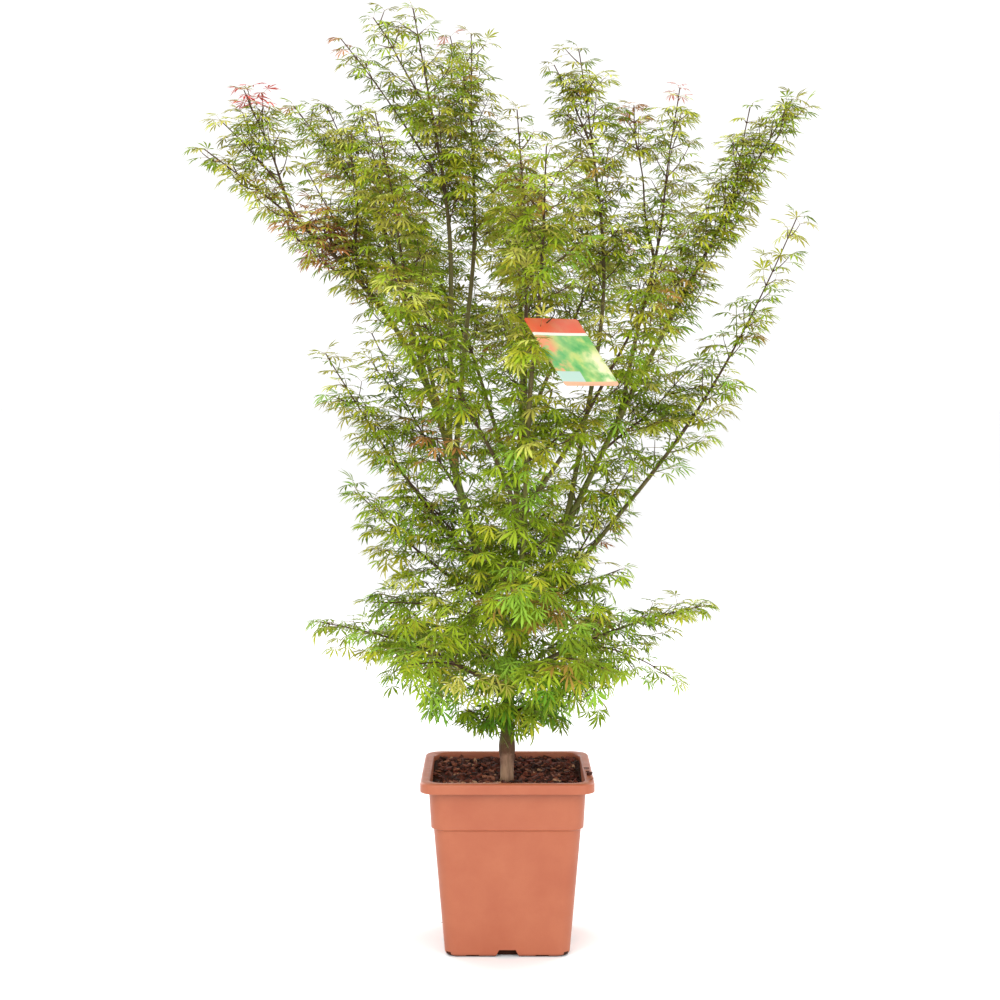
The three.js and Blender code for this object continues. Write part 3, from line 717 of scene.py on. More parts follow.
def lobe(angle, length, rng):
    """Points and triangles of one slender lobe, folded along its midrib and arched."""
    width, arch, fold, sway = (rng.uniform(*span) for span in LOBE_SPANS.values())
    half, arch, sway = length * LOBE_WIDTH * width, length * arch, length * sway
    points = [Vector((0, 0, 0))]
    for share, widest in LOBE_STATIONS:
        middle = Vector((share * length, sway * share**2, -arch * share**2))
        lift = Vector((0, half * widest, half * widest * fold))
        points += [middle + lift, middle, middle + Vector((0, -lift.y, lift.z))]
    points.append(Vector((length, sway, -arch)))
    faces = [(0, 2, 1), (0, 3, 2)]
    for ring in range(len(LOBE_STATIONS) - 1):
        left, middle, right = (1 + 3 * ring + i for i in range(3))
        faces += [(left, middle, middle + 3), (left, middle + 3, left + 3)]
        faces += [(middle, right, right + 3), (middle, right + 3, middle + 3)]
    left, middle, right = (len(points) - 4 + i for i in range(3))
    tip = len(points) - 1
    faces += [(left, middle, tip), (middle, right, tip)]
    turn = Matrix.Rotation(math.radians(angle), 3, "Z")
    return [turn @ p for p in points], faces


def leaf_shape(count, pitch, rng):
    """A whole leaf, its stalk along +X from the origin and its upper side towards +Z."""
    points, faces, parts = stalk_shape()
    hang = Matrix.Rotation(math.radians(pitch), 3, "Y")
    end = Vector((STALK, 0, 0))
    for angle, share in LOBES[count]:
        first = len(points)
        spread = angle * rng.uniform(*LEAF_SPANS["stretch"]) + rng.uniform(*LEAF_SPANS["shift"])
        made, triangles = lobe(spread, LOBE * share * rng.uniform(*LEAF_SPANS["length"]), rng)
        roll = Matrix.Rotation(math.radians(rng.uniform(*LEAF_SPANS["roll"])), 3, "X")
        points += [end + hang @ roll @ p for p in made]
        faces += [tuple(first + corner for corner in f) for f in triangles]
        parts += [BLADE] * len(triangles)
    return Shape(np.array(points), np.array(faces), np.array(parts))


def stalk_shape():
    """A thin three-sided stalk."""
    points, faces = [], []
    for reach in (0, STALK):
        for side in range(3):
            angle = 2 * math.pi * side / 3
            y, z = STALK_RADIUS * math.cos(angle), STALK_RADIUS * math.sin(angle)
            points.append(Vector((reach, y, z)))
    for side in range(3):
        after = (side + 1) % 3
        faces.append((side, after, 3 + after))
        faces.append((side, 3 + after, 3 + side))
    return points, faces, [STEM] * len(faces)


@dataclass
class Shape:
    points: np.ndarray
    faces: np.ndarray
    parts: np.ndarray


@dataclass
class Leaf:
    place: Vector
    forward: Vector
    roll: float
    size: float
    shape: int
    tint: str

    def axes(self):
        """Rows: forward, sideways and up, with the blade as level as its stalk lets it."""
        forward = self.forward.normalized()
        sideways = UP.cross(forward)
        sideways = sideways.normalized() if sideways.length > 1e-3 else Vector((1, 0, 0))
        sideways.rotate(Matrix.Rotation(self.roll, 3, forward))
        return [forward, sideways, forward.cross(sideways)]


def make_shapes():
    """Leaves of several shapes for each way of hanging, from level to steep."""
    rng = random.Random(SEED)
    shapes = []
    for pitch in PITCHES:
        for number in range(SHAPES_PER_PITCH):
            lobes = 7 if number % 2 else 5
            shapes.append(leaf_shape(lobes, pitch * rng.uniform(0.85, 1.15), rng))
    return shapes


# ---- The card's place, which the leaves keep free --------------------------------------

def card_matrix():
    """From the card's own plane, upright with its front towards +Z, to its place."""
    lift = Matrix.Rotation(math.pi / 2, 4, "X")
    tilt = Matrix.Rotation(-CARD_TILT, 4, "X")
    return Matrix.Translation(metres(CARD_PLACE)) @ Matrix.Rotation(CARD_YAW, 4, "Z") @ tilt @ lift


CARD_FRAME = card_matrix()
CARD_NORMAL = CARD_FRAME.to_3x3() @ UP
INTO_CARD = CARD_FRAME.inverted()


def hides_card(point):
    """Whether a leaf there would touch the card or hang in front of it."""
    ahead = (CARD_FRAME.translation - point).dot(CARD_NORMAL) / CARD_NORMAL.y
    if ahead < -CARD_CLEAR["behind"] * MM:
        return False
    x, y, _ = INTO_CARD @ (point + Vector((0, ahead, 0))) / MM
    wide, high, side = CARD["width"] / 2, CARD["height"] / 2, CARD_CLEAR["side"]
    return -wide - CARD_CLEAR["left"] < x < wide + side and abs(y) < high + side


# ---- Growth ----------------------------------------------------------------------------

@dataclass
class Habit:
    """How the shoots of a mass grow. Lengths are in metres and angles in degrees."""

    node_gap: float  # between two pairs of side shoots on the bough
    shoots: float  # chance that a bud grows out
    longest: float
    spread: tuple  # angle between a side shoot and its bough
    rise: float  # how strongly shoots turn up, or down if negative
    hang: tuple  # which ways of hanging its leaves have, from and to
    size: tuple  # of its leaves, from and to
    fork: float  # chance that a side shoot's bud grows out in turn
    roll: float  # how far a blade leans to one side, in radians
    bare: float  # share of a side shoot, next to the bough, that has no leaves
    slope: float  # how steeply stalks may point up or down, as a share of the shoot's own
    peak: float = 0.0  # how much the mass narrows over its upper half


HABITS = {
    "open": Habit(0.025, 0.88, 0.1, (38, 62), 0.05, (0, 2), (0.64, 0.92), 0.35, 0.2, 0.3, 0.25, 0.35),
    "full": Habit(0.022, 0.95, 0.11, (42, 66), 0.035, (0, 2), (0.66, 0.96), 0.5, 0.22, 0.3, 0.25, 0.15),
    "rising": Habit(0.024, 0.92, 0.1, (38, 62), 0.13, (0, 2), (0.66, 0.94), 0.4, 0.2, 0.3, 0.25, 0.1),
    "core": Habit(0.027, 0.9, 0.1, (48, 78), 0.02, (0, 3), (0.7, 1.0), 0.4, 0.35, 0.45, 0.35),
    "flat": Habit(0.025, 0.95, 0.11, (40, 64), -0.01, (0, 3), (0.72, 1.0), 0.35, 0.3, 0.35, 0.3),
    "low": Habit(0.028, 1.0, 0.12, (50, 88), -0.03, (0, 4), (0.78, 1.08), 0.4, 0.35, 0.4, 0.45),
    "sparse": Habit(0.024, 0.9, 0.08, (36, 58), 0.03, (0, 2), (0.66, 0.92), 0.15, 0.2, 0.3, 0.25, 0.1),
    "skirt": Habit(0.012, 1.0, 0.07, (60, 95), -0.06, (1, 4), (0.78, 1.05), 0.3, 0.35, 0.2, 0.4),
}
STEP = 5 * MM  # in which a shoot grows
LOWEST_LEAF = 336 * MM  # the height below which no leaf is borne
LEAF_GAP = (13 * MM, 20 * MM)  # between two pairs of leaves on a shoot
LEAF_REACH = 22 * MM  # how far short of the outline a shoot stops
STRAYS = 0.14  # share of the shoots that outgrow the outline
STRAY_REACH = 22 * MM
SHOOT_RADIUS = 1.1 * MM
SHOOT_TIP = 0.5 * MM
LIMB_BARE = 0.02  # share of a bough, next to its parent, that has no buds
LIMB_LAST = 0.01  # and of its end, where its own tip takes over
SHOOT_SHARES = (0.6, 1.0)  # how long a shoot may grow, of the longest that its habit has
FORK_LEAST = 8  # points that a shoot has at least if it forks
FORK_FROM = 4  # the first point at which it may fork, and how many points apart it may
FORK_GAP = (3, 5)
FORK_LONGEST = 45 * MM
FORK_RADIUS = 0.75  # as a share of its parent shoot's
LAST_LEAF = 0.45  # chance of a leaf between the last pair
# How far a fork or a leaf points along its shoot, and how far outwards: for a fork, for the
# leaves up a shoot, for its last pair, and for the pair at a bough's own tip.
FORK_LEAN, PAIR_LEAN, END_LEAN, TIP_LEAN = (0.6, 0.8), (0.55, 0.85), (0.85, 0.6), (0.8, 0.6)
TIP_SHOOT = 0.015  # share of a bough that its own last shoot covers
SHOOT_WANDER, STALK_WANDER = 0.07, 0.2  # how far a direction strays at random


@dataclass
class Shoot:
    points: list
    radius: float
    tint: str
    leaves: list = field(default_factory=list)


class Mass:
    """One mass of foliage round a stretch of its bough, with the model's own outline."""

    def __init__(self, name, limbs):
        bough, self.start, self.end, wide, deep, habit = (FOLIAGE | SPRAYS)[name]
        self.name = name
        self.limb = limbs[bough]
        self.across = (wide * MM, deep * MM)
        self.phase = len(name) * 1.7 + wide
        self.habit = HABITS[habit]
        self.rng = random.Random(f"{SEED} {name}")
        self.shoots = []

    def crowding(self, point):
        """0 on the bough, 1 on the outline of the mass, and more outside it."""
        share = self.nearest(point)
        along = (share - self.start) / (self.end - self.start)
        if not 0 < along < 1:
            return 2.0
        _, sideways, leaning = self.limb.axes(share)
        off = point - self.limb.at(share)
        x, y = off.dot(sideways), off.dot(leaning)
        angle = math.atan2(y / self.across[1], x / self.across[0])
        broad = LUMPS[0] * math.sin(2 * angle + 7 * along + self.phase)
        fine = LUMPS[1] * math.sin(5 * angle - 11 * along + 2 * self.phase)
        ellipse = 2 * math.sqrt(along * (1 - along))
        belly = max(ellipse, 0.4) ** -BELLY if along < 0.5 else 1
        full = ellipse * belly * lerp(1 + TAPER, 1 - TAPER, along) * (1 + broad + fine)
        full *= 1 - self.habit.peak * smooth(2 * along - 1)
        return math.hypot(x / self.across[0], y / self.across[1]) / full

    def nearest(self, point):
        """The share of the bough that lies nearest to a point."""
        limb = self.limb
        share = (point - limb.foot).dot(limb.tip - limb.foot) / limb.span**2
        for _ in range(3):
            share += (point - limb.at(share)).dot(limb.axes(share)[0]) / limb.span
        return share

    def grow(self):
        """Buds in opposite pairs up the bough, each pair turned square to the last."""
        habit, rng = self.habit, self.rng
        bare = TRUNK_BARE if self.limb.name == "trunk" else LIMB_BARE
        share = max(self.start, bare) + 0.3 * habit.node_gap / self.limb.span
        turn = rng.uniform(0, math.pi)
        while share < self.limb.end - LIMB_LAST:
            for bud in (turn, turn + math.pi):
                self.side_shoot(share, bud + rng.uniform(-0.3, 0.3))
            share += habit.node_gap * rng.uniform(0.8, 1.2) / self.limb.span
            turn += math.pi / 2
        self.top()

    def side_shoot(self, share, angle):
        habit, rng = self.habit, self.rng
        along, sideways, leaning = self.limb.axes(share)
        out = sideways * math.cos(angle) + leaning * math.sin(angle)
        foot = self.limb.at(share) + out * self.limb.thickness(share) * 0.6
        spread = math.radians(rng.uniform(*habit.spread))
        heading = along * math.cos(spread) + out * math.sin(spread)
        grows = rng.random() < habit.shoots
        longest = habit.longest * rng.uniform(*SHOOT_SHARES) if grows else 0
        shoot = self.extend(foot, heading, longest, SHOOT_RADIUS)
        if len(shoot.points) >= FORK_LEAST:
            self.fork(shoot)

    def extend(self, foot, heading, longest, radius):
        """One shoot, step by step, until it nears the outline; then its leaves."""
        habit, rng = self.habit, self.rng
        points = [foot.copy()]
        heading = heading.normalized()
        ahead = LEAF_REACH * rng.uniform(0.7, 1.25)
        if rng.random() < STRAYS:
            ahead -= STRAY_REACH
        while (len(points) - 1) * STEP < longest:
            heading += UP * habit.rise + wander(rng, SHOOT_WANDER)
            heading.normalize()
            beyond = self.crowding(points[-1] + heading * ahead) > 1
            if beyond or not in_box(points[-1] + heading * LEAF_REACH) or hides_card(points[-1]):
                break
            points.append(points[-1] + heading * STEP)
        shoot = Shoot(points, radius, pick_twig(foot, rng))
        self.shoots.append(shoot)
        self.leaf_out(shoot, heading)
        return shoot

    def fork(self, shoot):
        """Buds of a side shoot that grow out in turn."""
        rng = self.rng
        number = FORK_FROM
        while number < len(shoot.points) - 2:
            heading = (shoot.points[number + 1] - shoot.points[number]).normalized()
            for out in across(heading, rng.uniform(-0.5, 0.5)):
                if rng.random() < self.habit.fork:
                    forked = lean(heading, out, FORK_LEAN)
                    radius = SHOOT_RADIUS * FORK_RADIUS
                    self.extend(shoot.points[number], forked, FORK_LONGEST, radius)
            number += rng.randint(*FORK_GAP)

    def leaf_out(self, shoot, heading):
        """Opposite pairs of leaves up a shoot, and a last few at its tip."""
        habit, rng = self.habit, self.rng
        tint = pick_tint(shoot.points[-1], rng)
        length = (len(shoot.points) - 1) * STEP
        reached = max(habit.bare * length * rng.uniform(0.7, 1.2), 0.5 * LEAF_GAP[0])
        turn = rng.uniform(-0.4, 0.4)
        while reached < length - 4 * MM:
            at = shoot.points[int(reached / STEP)]
            direction = (shoot.points[int(reached / STEP) + 1] - at).normalized()
            for out in across(direction, turn):
                self.leaf(shoot, at, lean(direction, out, PAIR_LEAN), tint, 1.0)
            reached += rng.uniform(*LEAF_GAP)
            turn += math.pi / 2
        for out in across(heading, turn):
            self.leaf(shoot, shoot.points[-1], lean(heading, out, END_LEAN), tint, 0.95)
        if length > 0 and rng.random() < LAST_LEAF:
            self.leaf(shoot, shoot.points[-1], heading, tint, 0.7)

    def leaf(self, shoot, at, forward, tint, size):
        habit, rng = self.habit, self.rng
        forward = Vector((forward.x, forward.y, forward.z * habit.slope)).normalized()
        forward += wander(rng, STALK_WANDER)
        if hides_card(at + forward * LEAF_REACH * size) or at.z < LOWEST_LEAF:
            return
        kind = rng.randrange(*habit.hang) * SHAPES_PER_PITCH + rng.randrange(SHAPES_PER_PITCH)
        shoot.leaves.append(
            Leaf(
                place=at.copy(),
                forward=forward,
                roll=rng.uniform(-habit.roll, habit.roll),
                size=size * rng.uniform(*habit.size) * leaf_growth(at),
                shape=kind,
                tint=accent(at, rng) or near_tint(tint, rng),
            )
        )

    def top(self):
        """The bough's own tip: a last pair of leaves and one between them."""
        end = self.limb.end
        if self.end < end or self.limb.name == "trunk":
            return
        along, tip = self.limb.axes(end)[0], self.limb.at(end)
        shoot = Shoot([self.limb.at(end - TIP_SHOOT), tip], SHOOT_TIP * 1.6, "brown")
        tint = pick_tint(tip, self.rng)
        for out in across(along, self.rng.uniform(0, 3)):
            self.leaf(shoot, tip, lean(along, out, TIP_LEAN), tint, 0.9)
        self.leaf(shoot, tip, along, tint, 0.8)
        self.shoots.append(shoot)


def in_box(point):
    low, high = MODEL_BOX
    return all(low[i] < point[i] < high[i] for i in range(3))


def lean(along, out, shares):
    """A way between two others, with the given share of each."""
    return along * shares[0] + out * shares[1]


def wander(rng, most):
    return Vector([rng.uniform(-most, most) for _ in range(3)])


def across(heading, turn):
    """Two opposite directions square to a shoot, level where the turn is nought."""
    level = heading.cross(UP)
    level = level.normalized() if level.length > 1e-3 else Vector((1, 0, 0))
    level.rotate(Matrix.Rotation(turn, 3, heading))
    return level, -level


# Tints that pass into each other within a spray.
NEAR = {
    "deep": ("leaf", "deep"),
    "leaf": ("deep", "yellow"),
    "yellow": ("leaf", "light"),
    "light": ("yellow", "light"),
    "fresh": ("fresh", "leaf"),
    "grass": ("grass", "deep"),
    "olive": ("khaki", "leaf"),
    "khaki": ("olive", "light"),
    "bronze": ("olive", "bronze"),
    "rust": ("bronze", "rust"),
    "orange": ("rust", "khaki"),
    "red": ("red", "red"),
    "pink": ("pink", "khaki"),
}
# Sprays of another colour: where they are and how far they reach, in mm, and their tint.
ACCENTS = [
    ((-392, -60, 1302), 34, "red"),
    ((-94, 138, 1426), 24, "pink"),
    ((-254, 6, 1392), 30, "rust"),
    ((283, 176, 1342), 28, "pink"),
    ((204, 120, 1302), 34, "orange"),
    ((256, -60, 1008), 17, "rust"),
    ((232, -240, 994), 20, "orange"),
    ((256, -60, 1022), 40, "bronze"),
    ((50, -90, 1150), 50, "bronze"),
    ((-304, -50, 1110), 38, "orange"),
    ((-270, -50, 1066), 34, "rust"),
    ((-110, -60, 770), 36, "orange"),
    ((64, -140, 526), 40, "bronze"),
    ((36, -200, 520), 50, "fresh"),
    ((40, 240, 1240), 36, "rust"),
    ((-160, 300, 1160), 28, "red"),
    ((210, 300, 1100), 36, "orange"),
]


ACCENT_SHARE = 0.8  # share of the leaves of an accent that have its tint
NEAR_SHARE = 0.45  # share of the leaves of a spray that have a tint near its own
# The heights in metres from which leaves grow smaller, and over which they do, and by
# how much.
TOP_LEAVES = (0.95, 0.4, 0.13)
# The heights in metres from which the tints change, and over which they do: upwards to the
# yellower tints, upwards to brown twigs, and downwards to the greenest leaves.
HIGH_TINTS, BROWN_TWIGS, LOW_TINTS = (0.55, 0.6), (0.6, 0.5), (0.48, -0.12)
INNER_REACH = 0.3  # how far to the sides the upper foliage is bronzed, in metres


def risen(point, heights):
    """0 at the first height and 1 at its far side, with a soft passage between."""
    start, over = heights
    return smooth((point.z - start) / over)


def accent(point, rng):
    """The tint of the accent that a leaf is in, if it is in one."""
    for where, reach, tint in ACCENTS:
        if (point - metres(where)).length < reach * MM:
            return tint if rng.random() < ACCENT_SHARE else None
    return None


def leaf_growth(at):
    """How large the leaves are there: a little smaller on the high, young shoots."""
    start, over, less = TOP_LEAVES
    return 1 - less * smooth((at.z - start) / over)


def near_tint(tint, rng):
    return rng.choice(NEAR[tint]) if rng.random() < NEAR_SHARE else tint


def tint_shares(point):
    """How often each tint is dealt to a spray there: fresh and green low down, yellower
    and more olive with height, with bronze in the densest upper foliage."""
    high, low = risen(point, HIGH_TINTS), risen(point, LOW_TINTS)
    inner = high * math.exp(-((point.x / INNER_REACH) ** 2))
    return {
        "deep": 3.2 - 2.4 * high + 1.0 * low,
        "leaf": 4.6 - 1.0 * high,
        "yellow": 0.5 + 1.3 * high - 0.4 * low,
        "light": 0.3 + 1.0 * (high - inner) - 0.25 * low,
        "fresh": 1.6 * (1 - high),
        "olive": 0.3 + 2.1 * high,
        "khaki": 0.2 + 1.0 * high,
        "bronze": 0.08 + 0.4 * inner,
        "rust": 0.02 + 0.04 * high,
        "grass": 4.2 * low,
    }


def pick_tint(point, rng):
    shares = tint_shares(point)
    return rng.choices(list(shares), list(shares.values()))[0]


def pick_twig(point, rng):
    return "brown" if rng.random() < lerp(0.3, 0.9, risen(point, BROWN_TWIGS)) else "green"


# ---- Foliage pieces --------------------------------------------------------------------

def make_leaves(mass, shapes, materials):
    """All leaves of a mass as one mesh, each spray in its own plain tint."""
    leaves = [leaf for shoot in mass.shoots for leaf in shoot.leaves]
    tints = list(LEAF_TINTS)
    points, faces, numbers = [], [], []
    first = 0
    for kind, shape in enumerate(shapes):
        chosen = [leaf for leaf in leaves if leaf.shape == kind]
        if not chosen:
            continue
        axes = np.array([[tuple(a) for a in leaf.axes()] for leaf in chosen])
        sizes = np.array([leaf.size for leaf in chosen])
        places = np.array([tuple(leaf.place) for leaf in chosen])
        put = np.einsum("vk,nkc->nvc", shape.points, axes * sizes[:, None, None])
        points.append((put + places[:, None]).reshape(-1, 3))
        starts = first + len(shape.points) * np.arange(len(chosen))
        faces.append((shape.faces[None] + starts[:, None, None]).reshape(-1, 3))
        dealt = np.array([tints.index(leaf.tint) for leaf in chosen])
        numbers.append(np.where(shape.parts[None] == STEM, len(tints), dealt[:, None]).ravel())
        first += put.shape[0] * put.shape[1]
    points, faces, numbers = map(np.concatenate, (points, faces, numbers))
    return new_mesh(f"leaves_{mass.name}", points.tolist(), faces.tolist(), materials, numbers)


def make_twigs(mass, materials):
    """The shoots of a mass as thin four-sided tubes."""
    points, faces, numbers = [], [], []
    names = list(TWIG_TINTS)
    for shoot in mass.shoots:
        if len(shoot.points) < 2:
            continue
        first = len(points)
        rings = shoot.points[:-1:2] + shoot.points[-1:]
        for number, centre in enumerate(rings):
            ahead = rings[min(number + 1, len(rings) - 1)] - rings[max(number - 1, 0)]
            one, _ = across(ahead.normalized(), 0)
            two = ahead.normalized().cross(one)
            radius = lerp(shoot.radius, SHOOT_TIP, number / (len(rings) - 1))
            points += [centre + d * radius for d in (one, two, -one, -two)]
        made = tube_faces(len(rings), 4)
        last = 4 * (len(rings) - 1)
        made.append((last, last + 1, last + 2, last + 3))
        faces += [tuple(first + corner for corner in f) for f in made]
        numbers += [names.index(shoot.tint)] * len(made)
    return new_mesh(f"twigs_{mass.name}", points, faces, materials, numbers)


def make_foliage(limbs):
    shapes = make_shapes()
    leaf_materials = [plain(f"leaf_{n}", c, 0.6, 0.12) for n, c in LEAF_TINTS.items()]
    leaf_materials.append(plain("leaf_stalk", PETIOLE, 0.6, 0.2))
    twig_materials = [plain(f"twig_{n}", c, 0.6, 0.4) for n, c in TWIG_TINTS.items()]
    masses = [Mass(name, limbs) for name in FOLIAGE | SPRAYS]
    for mass in masses:
        mass.grow()
    for mass in masses:
        nodes = [mass.name] if mass.name in FOLIAGE else []
        place(make_leaves(mass, shapes, leaf_materials), "foliage", *nodes)
        place(make_twigs(mass, twig_materials), "foliage", *nodes)


# ---- The pot and its compost -----------------------------------------------------------

CORNER_STEPS = 9  # in the round of each corner, seen from above
FLAT_STEPS = 5  # along each flat side
BRACKET = 0.03  # share of a flat side kept next to each round, so that it shades flat
FILLET_STEPS = 5  # in each round of the section
FILLET_MOST = 0.45  # share of a straight stretch that one round may take up
CUT_REACH = 20  # half the length of the cutters, in mm


def fillet(profile):
    """A section as a list of (half width, height), its corners rounded off."""
    spots = [Vector(row[:2]) for row in profile]
    rounded = [profile[0][:2]]
    for i in range(1, len(profile) - 1):
        rounded += round_corner(spots[i - 1], spots[i], spots[i + 1], profile[i][2])
    rounded.append(profile[-1][:2])
    return rounded


def round_corner(before, corner, after, radius):
    """An arc between two straight stretches, with a point on each just before it."""
    back, ahead = (before - corner).normalized(), (after - corner).normalized()
    half = back.angle(ahead) / 2
    room = FILLET_MOST * min((before - corner).length, (after - corner).length)
    reach = min(radius / math.tan(half), room)
    centre = corner + (back + ahead).normalized() * (reach / math.cos(half))
    start, end = corner + back * reach - centre, corner + ahead * reach - centre
    turn = start.angle_signed(end)
    arc = []
    for step in range(FILLET_STEPS + 1):
        spoke = start.copy()
        spoke.rotate(Matrix.Rotation(-turn * step / FILLET_STEPS, 2))
        arc.append(centre + spoke)
    lead = min(1.0, reach)
    return [tuple(p) for p in (arc[0] + back * lead, *arc, arc[-1] + ahead * lead)]


def corner_radius(half, z):
    """The pot's corners are rounder at its rim than at its foot."""
    full = lerp(POT_BASE_CORNER, POT_CORNER, clamp(z / POT_HEIGHT))
    return min(full, 0.4 * half)


def square_ring(half, z):
    """Points round a square with rounded corners, in mm."""
    corner = corner_radius(half, z)
    reach = half - corner
    signs = [(1, 1), (-1, 1), (-1, -1), (1, -1)]
    inner = [(i + 1) / (FLAT_STEPS + 1) for i in range(FLAT_STEPS)]

    def spot(quarter, angle):
        sx, sy = signs[quarter % 4]
        return sx * reach + corner * math.cos(angle), sy * reach + corner * math.sin(angle)

    ring = []
    for quarter in range(4):
        start = quarter * math.pi / 2
        for step in range(CORNER_STEPS + 1):
            ring.append((*spot(quarter, start + step / CORNER_STEPS * math.pi / 2), z))
        last, first = ring[-1], spot(quarter + 1, start + math.pi / 2)
        for share in (BRACKET, *inner, 1 - BRACKET):
            ring.append((lerp(last[0], first[0], share), lerp(last[1], first[1], share), z))
    return ring


def square_lathe(profile):
    """A closed body of square rings, from one point on the axis to another."""
    rings = [square_ring(half, z) for half, z in profile[1:-1]]
    sides = len(rings[0])
    points = [metres(p) for ring in rings for p in ring]
    faces = tube_faces(len(rings), sides)
    points += [metres((0, 0, profile[0][1])), metres((0, 0, profile[-1][1]))]
    foot, top = len(points) - 2, len(points) - 1
    last = foot - sides
    for side in range(sides):
        after = (side + 1) % sides
        faces.append((after, side, foot))
        faces.append((last + side, last + after, top))
    return points, faces


def bar(section, length):
    """A cutter with that section (across, up), lying along X through the origin, in mm."""
    points = [metres((end, aside, up)) for end in (-length, length) for aside, up in section]
    count = len(section)
    faces = [tuple(reversed(range(count))), tuple(range(count, 2 * count))]
    for corner in range(count):
        after = (corner + 1) % count
        faces.append((corner, after, after + count, corner + count))
    return points, faces


def drain_cutters():
    """The drain openings in the middle of each side, and shallow bites beside them."""
    foot, top, height = DRAIN["foot"], DRAIN["top"], DRAIN["height"]
    opening = [(-foot, -1), (foot, -1), (foot, 0), (top, height), (-top, height), (-foot, 0)]
    half, rise, deep = FOOT_BITE["half"], FOOT_BITE["height"], FOOT_BITE["deep"]
    narrow = half - FOOT_BITE["slant"]
    bite = [(-half, -1), (half, -1), (narrow, rise), (-narrow, rise)]
    middle = FOOT_BITE["middle"]
    kinds = [(opening, DRAIN["deep"], 0), (bite, deep, middle), (bite, deep, -middle)]
    cutters = []
    for quarter in range(4):
        for section, deep, aside in kinds:
            points, faces = bar(section, CUT_REACH)
            shift = metres((POT_FACE - deep + CUT_REACH, aside, 0))
            cutters.append((([p + shift for p in points], faces), quarter * math.pi / 2))
    return cutters


SHARP = math.radians(35)  # edges of the pot that turn more than this are drawn sharp


def make_pot():
    points, faces = square_lathe(fillet(POT_PROFILE))
    # Painted shade: the faces inside the drain openings and foot bites, and under the pot, get a plain dark
    # brown that stands in for the shade in those recesses.
    recess_shade = plain("pot_dirt", "#3a1c10", 0.9, 0.2)
    pot = new_mesh("pot_body", points, faces, [pot_plastic(), recess_shade])
    for number, ((cut_points, cut_faces), turn) in enumerate(drain_cutters()):
        spin = Matrix.Rotation(turn, 3, "Z")
        turned = [spin @ p for p in cut_points]
        cutter = new_mesh(f"cutter_{number}", turned, cut_faces, [], rounded=False)
        cut = pot.modifiers.new("cut", "BOOLEAN")
        cut.operation, cut.solver, cut.object = "DIFFERENCE", "EXACT", cutter
        apply_modifiers(pot)
        bpy.data.objects.remove(cutter)
    for face in pot.data.polygons:
        x, y, z = face.center / MM
        if z < DRAIN["height"] + 0.5 and max(abs(x), abs(y)) < POT_FACE - 3:
            face.material_index = 1  # the faces inside the cuts and under the pot: painted shade
    pot.data.set_sharp_from_angle(angle=SHARP)
    place(pot, "pot_plastic", "pot")


SOIL_LOW, SOIL_HIGH = -5, 7  # of the surface in mm, against the model's level top
SOIL_BANK = (-0.015, 0.1)  # where along Y the bank begins, and over how much it rises
SOIL_LUMPS = ((3.2, 0.02), (1.6, 0.007))  # height in mm, and size in metres
SOIL_RINGS = 26


def soil_height(x, y):
    """The compost's surface in metres: banked up towards the back, and uneven."""
    spot = Vector((x, y, 0))
    bank = lerp(SOIL_LOW, SOIL_HIGH, smooth((y - SOIL_BANK[0]) / SOIL_BANK[1]))
    rough = sum(height * noise.noise(spot / size) for height, size in SOIL_LUMPS)
    return (SOIL_TOP + bank + rough) * MM


def make_soil():
    halves = [SOIL_HALF * (i + 1) / SOIL_RINGS for i in range(SOIL_RINGS)]
    rings = [square_ring(half, SOIL_TOP) for half in halves]
    points = []
    for ring in rings:
        points += [Vector((x * MM, y * MM, soil_height(x * MM, y * MM))) for x, y, _ in ring]
    points.append(Vector((0, 0, soil_height(0, 0))))
    sides, centre = len(rings[0]), len(points) - 1
    faces = [tuple(reversed(f)) for f in tube_faces(len(rings), sides)]
    faces += [(side, (side + 1) % sides, centre) for side in range(sides)]
    place(new_mesh("soil_bed", points, faces, [compost()]), "compost", "soil")


CHIP_COUNT = 1400
CHIP_TINTS = ["#2b0f05", "#401a0c", "#532616", "#68331f", "#85523a", "#9c7357", "#5a2010"]
CHIP_SHARES = [6, 7, 7, 5, 2.2, 1, 4]
CHIP_TILT, STRAY_TILT = 0.35, 0.1  # how far chips lie aslant, in radians
TRUNK_CLEAR = 11.5 * MM  # how far chips keep off the trunk's centre line
PALE_SHARES = [1, 1, 2, 3, 5, 7, 0]  # where larger, drier chips lie on top
PALE_PATCHES = [((-0.055, -0.075), 0.055), ((0.045, -0.09), 0.03)]  # middle and reach
PALE_GROWTH = 1.35
PALE_CHANCE = 0.5
CHIP_SIZE = ((5, 15), (3.5, 8), (1.4, 3.6))  # length, width and thickness in mm
CHIP_OUTLINE = ((-1, -0.7), (0.1, -1), (1, -0.5), (0.8, 0.6), (-0.2, 1), (-0.9, 0.5))


def chip(rng, where, tilt, growth):
    """A broken flake of bark: a skewed block with uneven corners."""
    size = [rng.uniform(*span) * growth * MM / 2 for span in CHIP_SIZE]
    turn = Matrix.Rotation(rng.uniform(0, 2 * math.pi), 3, "Z")
    for axis in "XY":
        turn @= Matrix.Rotation(rng.gauss(0, tilt), 3, axis)
    points = []
    for z in (-1, 1):
        for x, y in CHIP_OUTLINE:
            corner = Vector((x * size[0], y * size[1], z * size[2]))
            corner *= rng.uniform(0.72, 1.15)
            points.append(where + turn @ corner)
    faces = [(5, 4, 3, 2, 1, 0), (6, 7, 8, 9, 10, 11)]
    faces += [(i, (i + 1) % 6, 6 + (i + 1) % 6, 6 + i) for i in range(6)]
    return points, faces


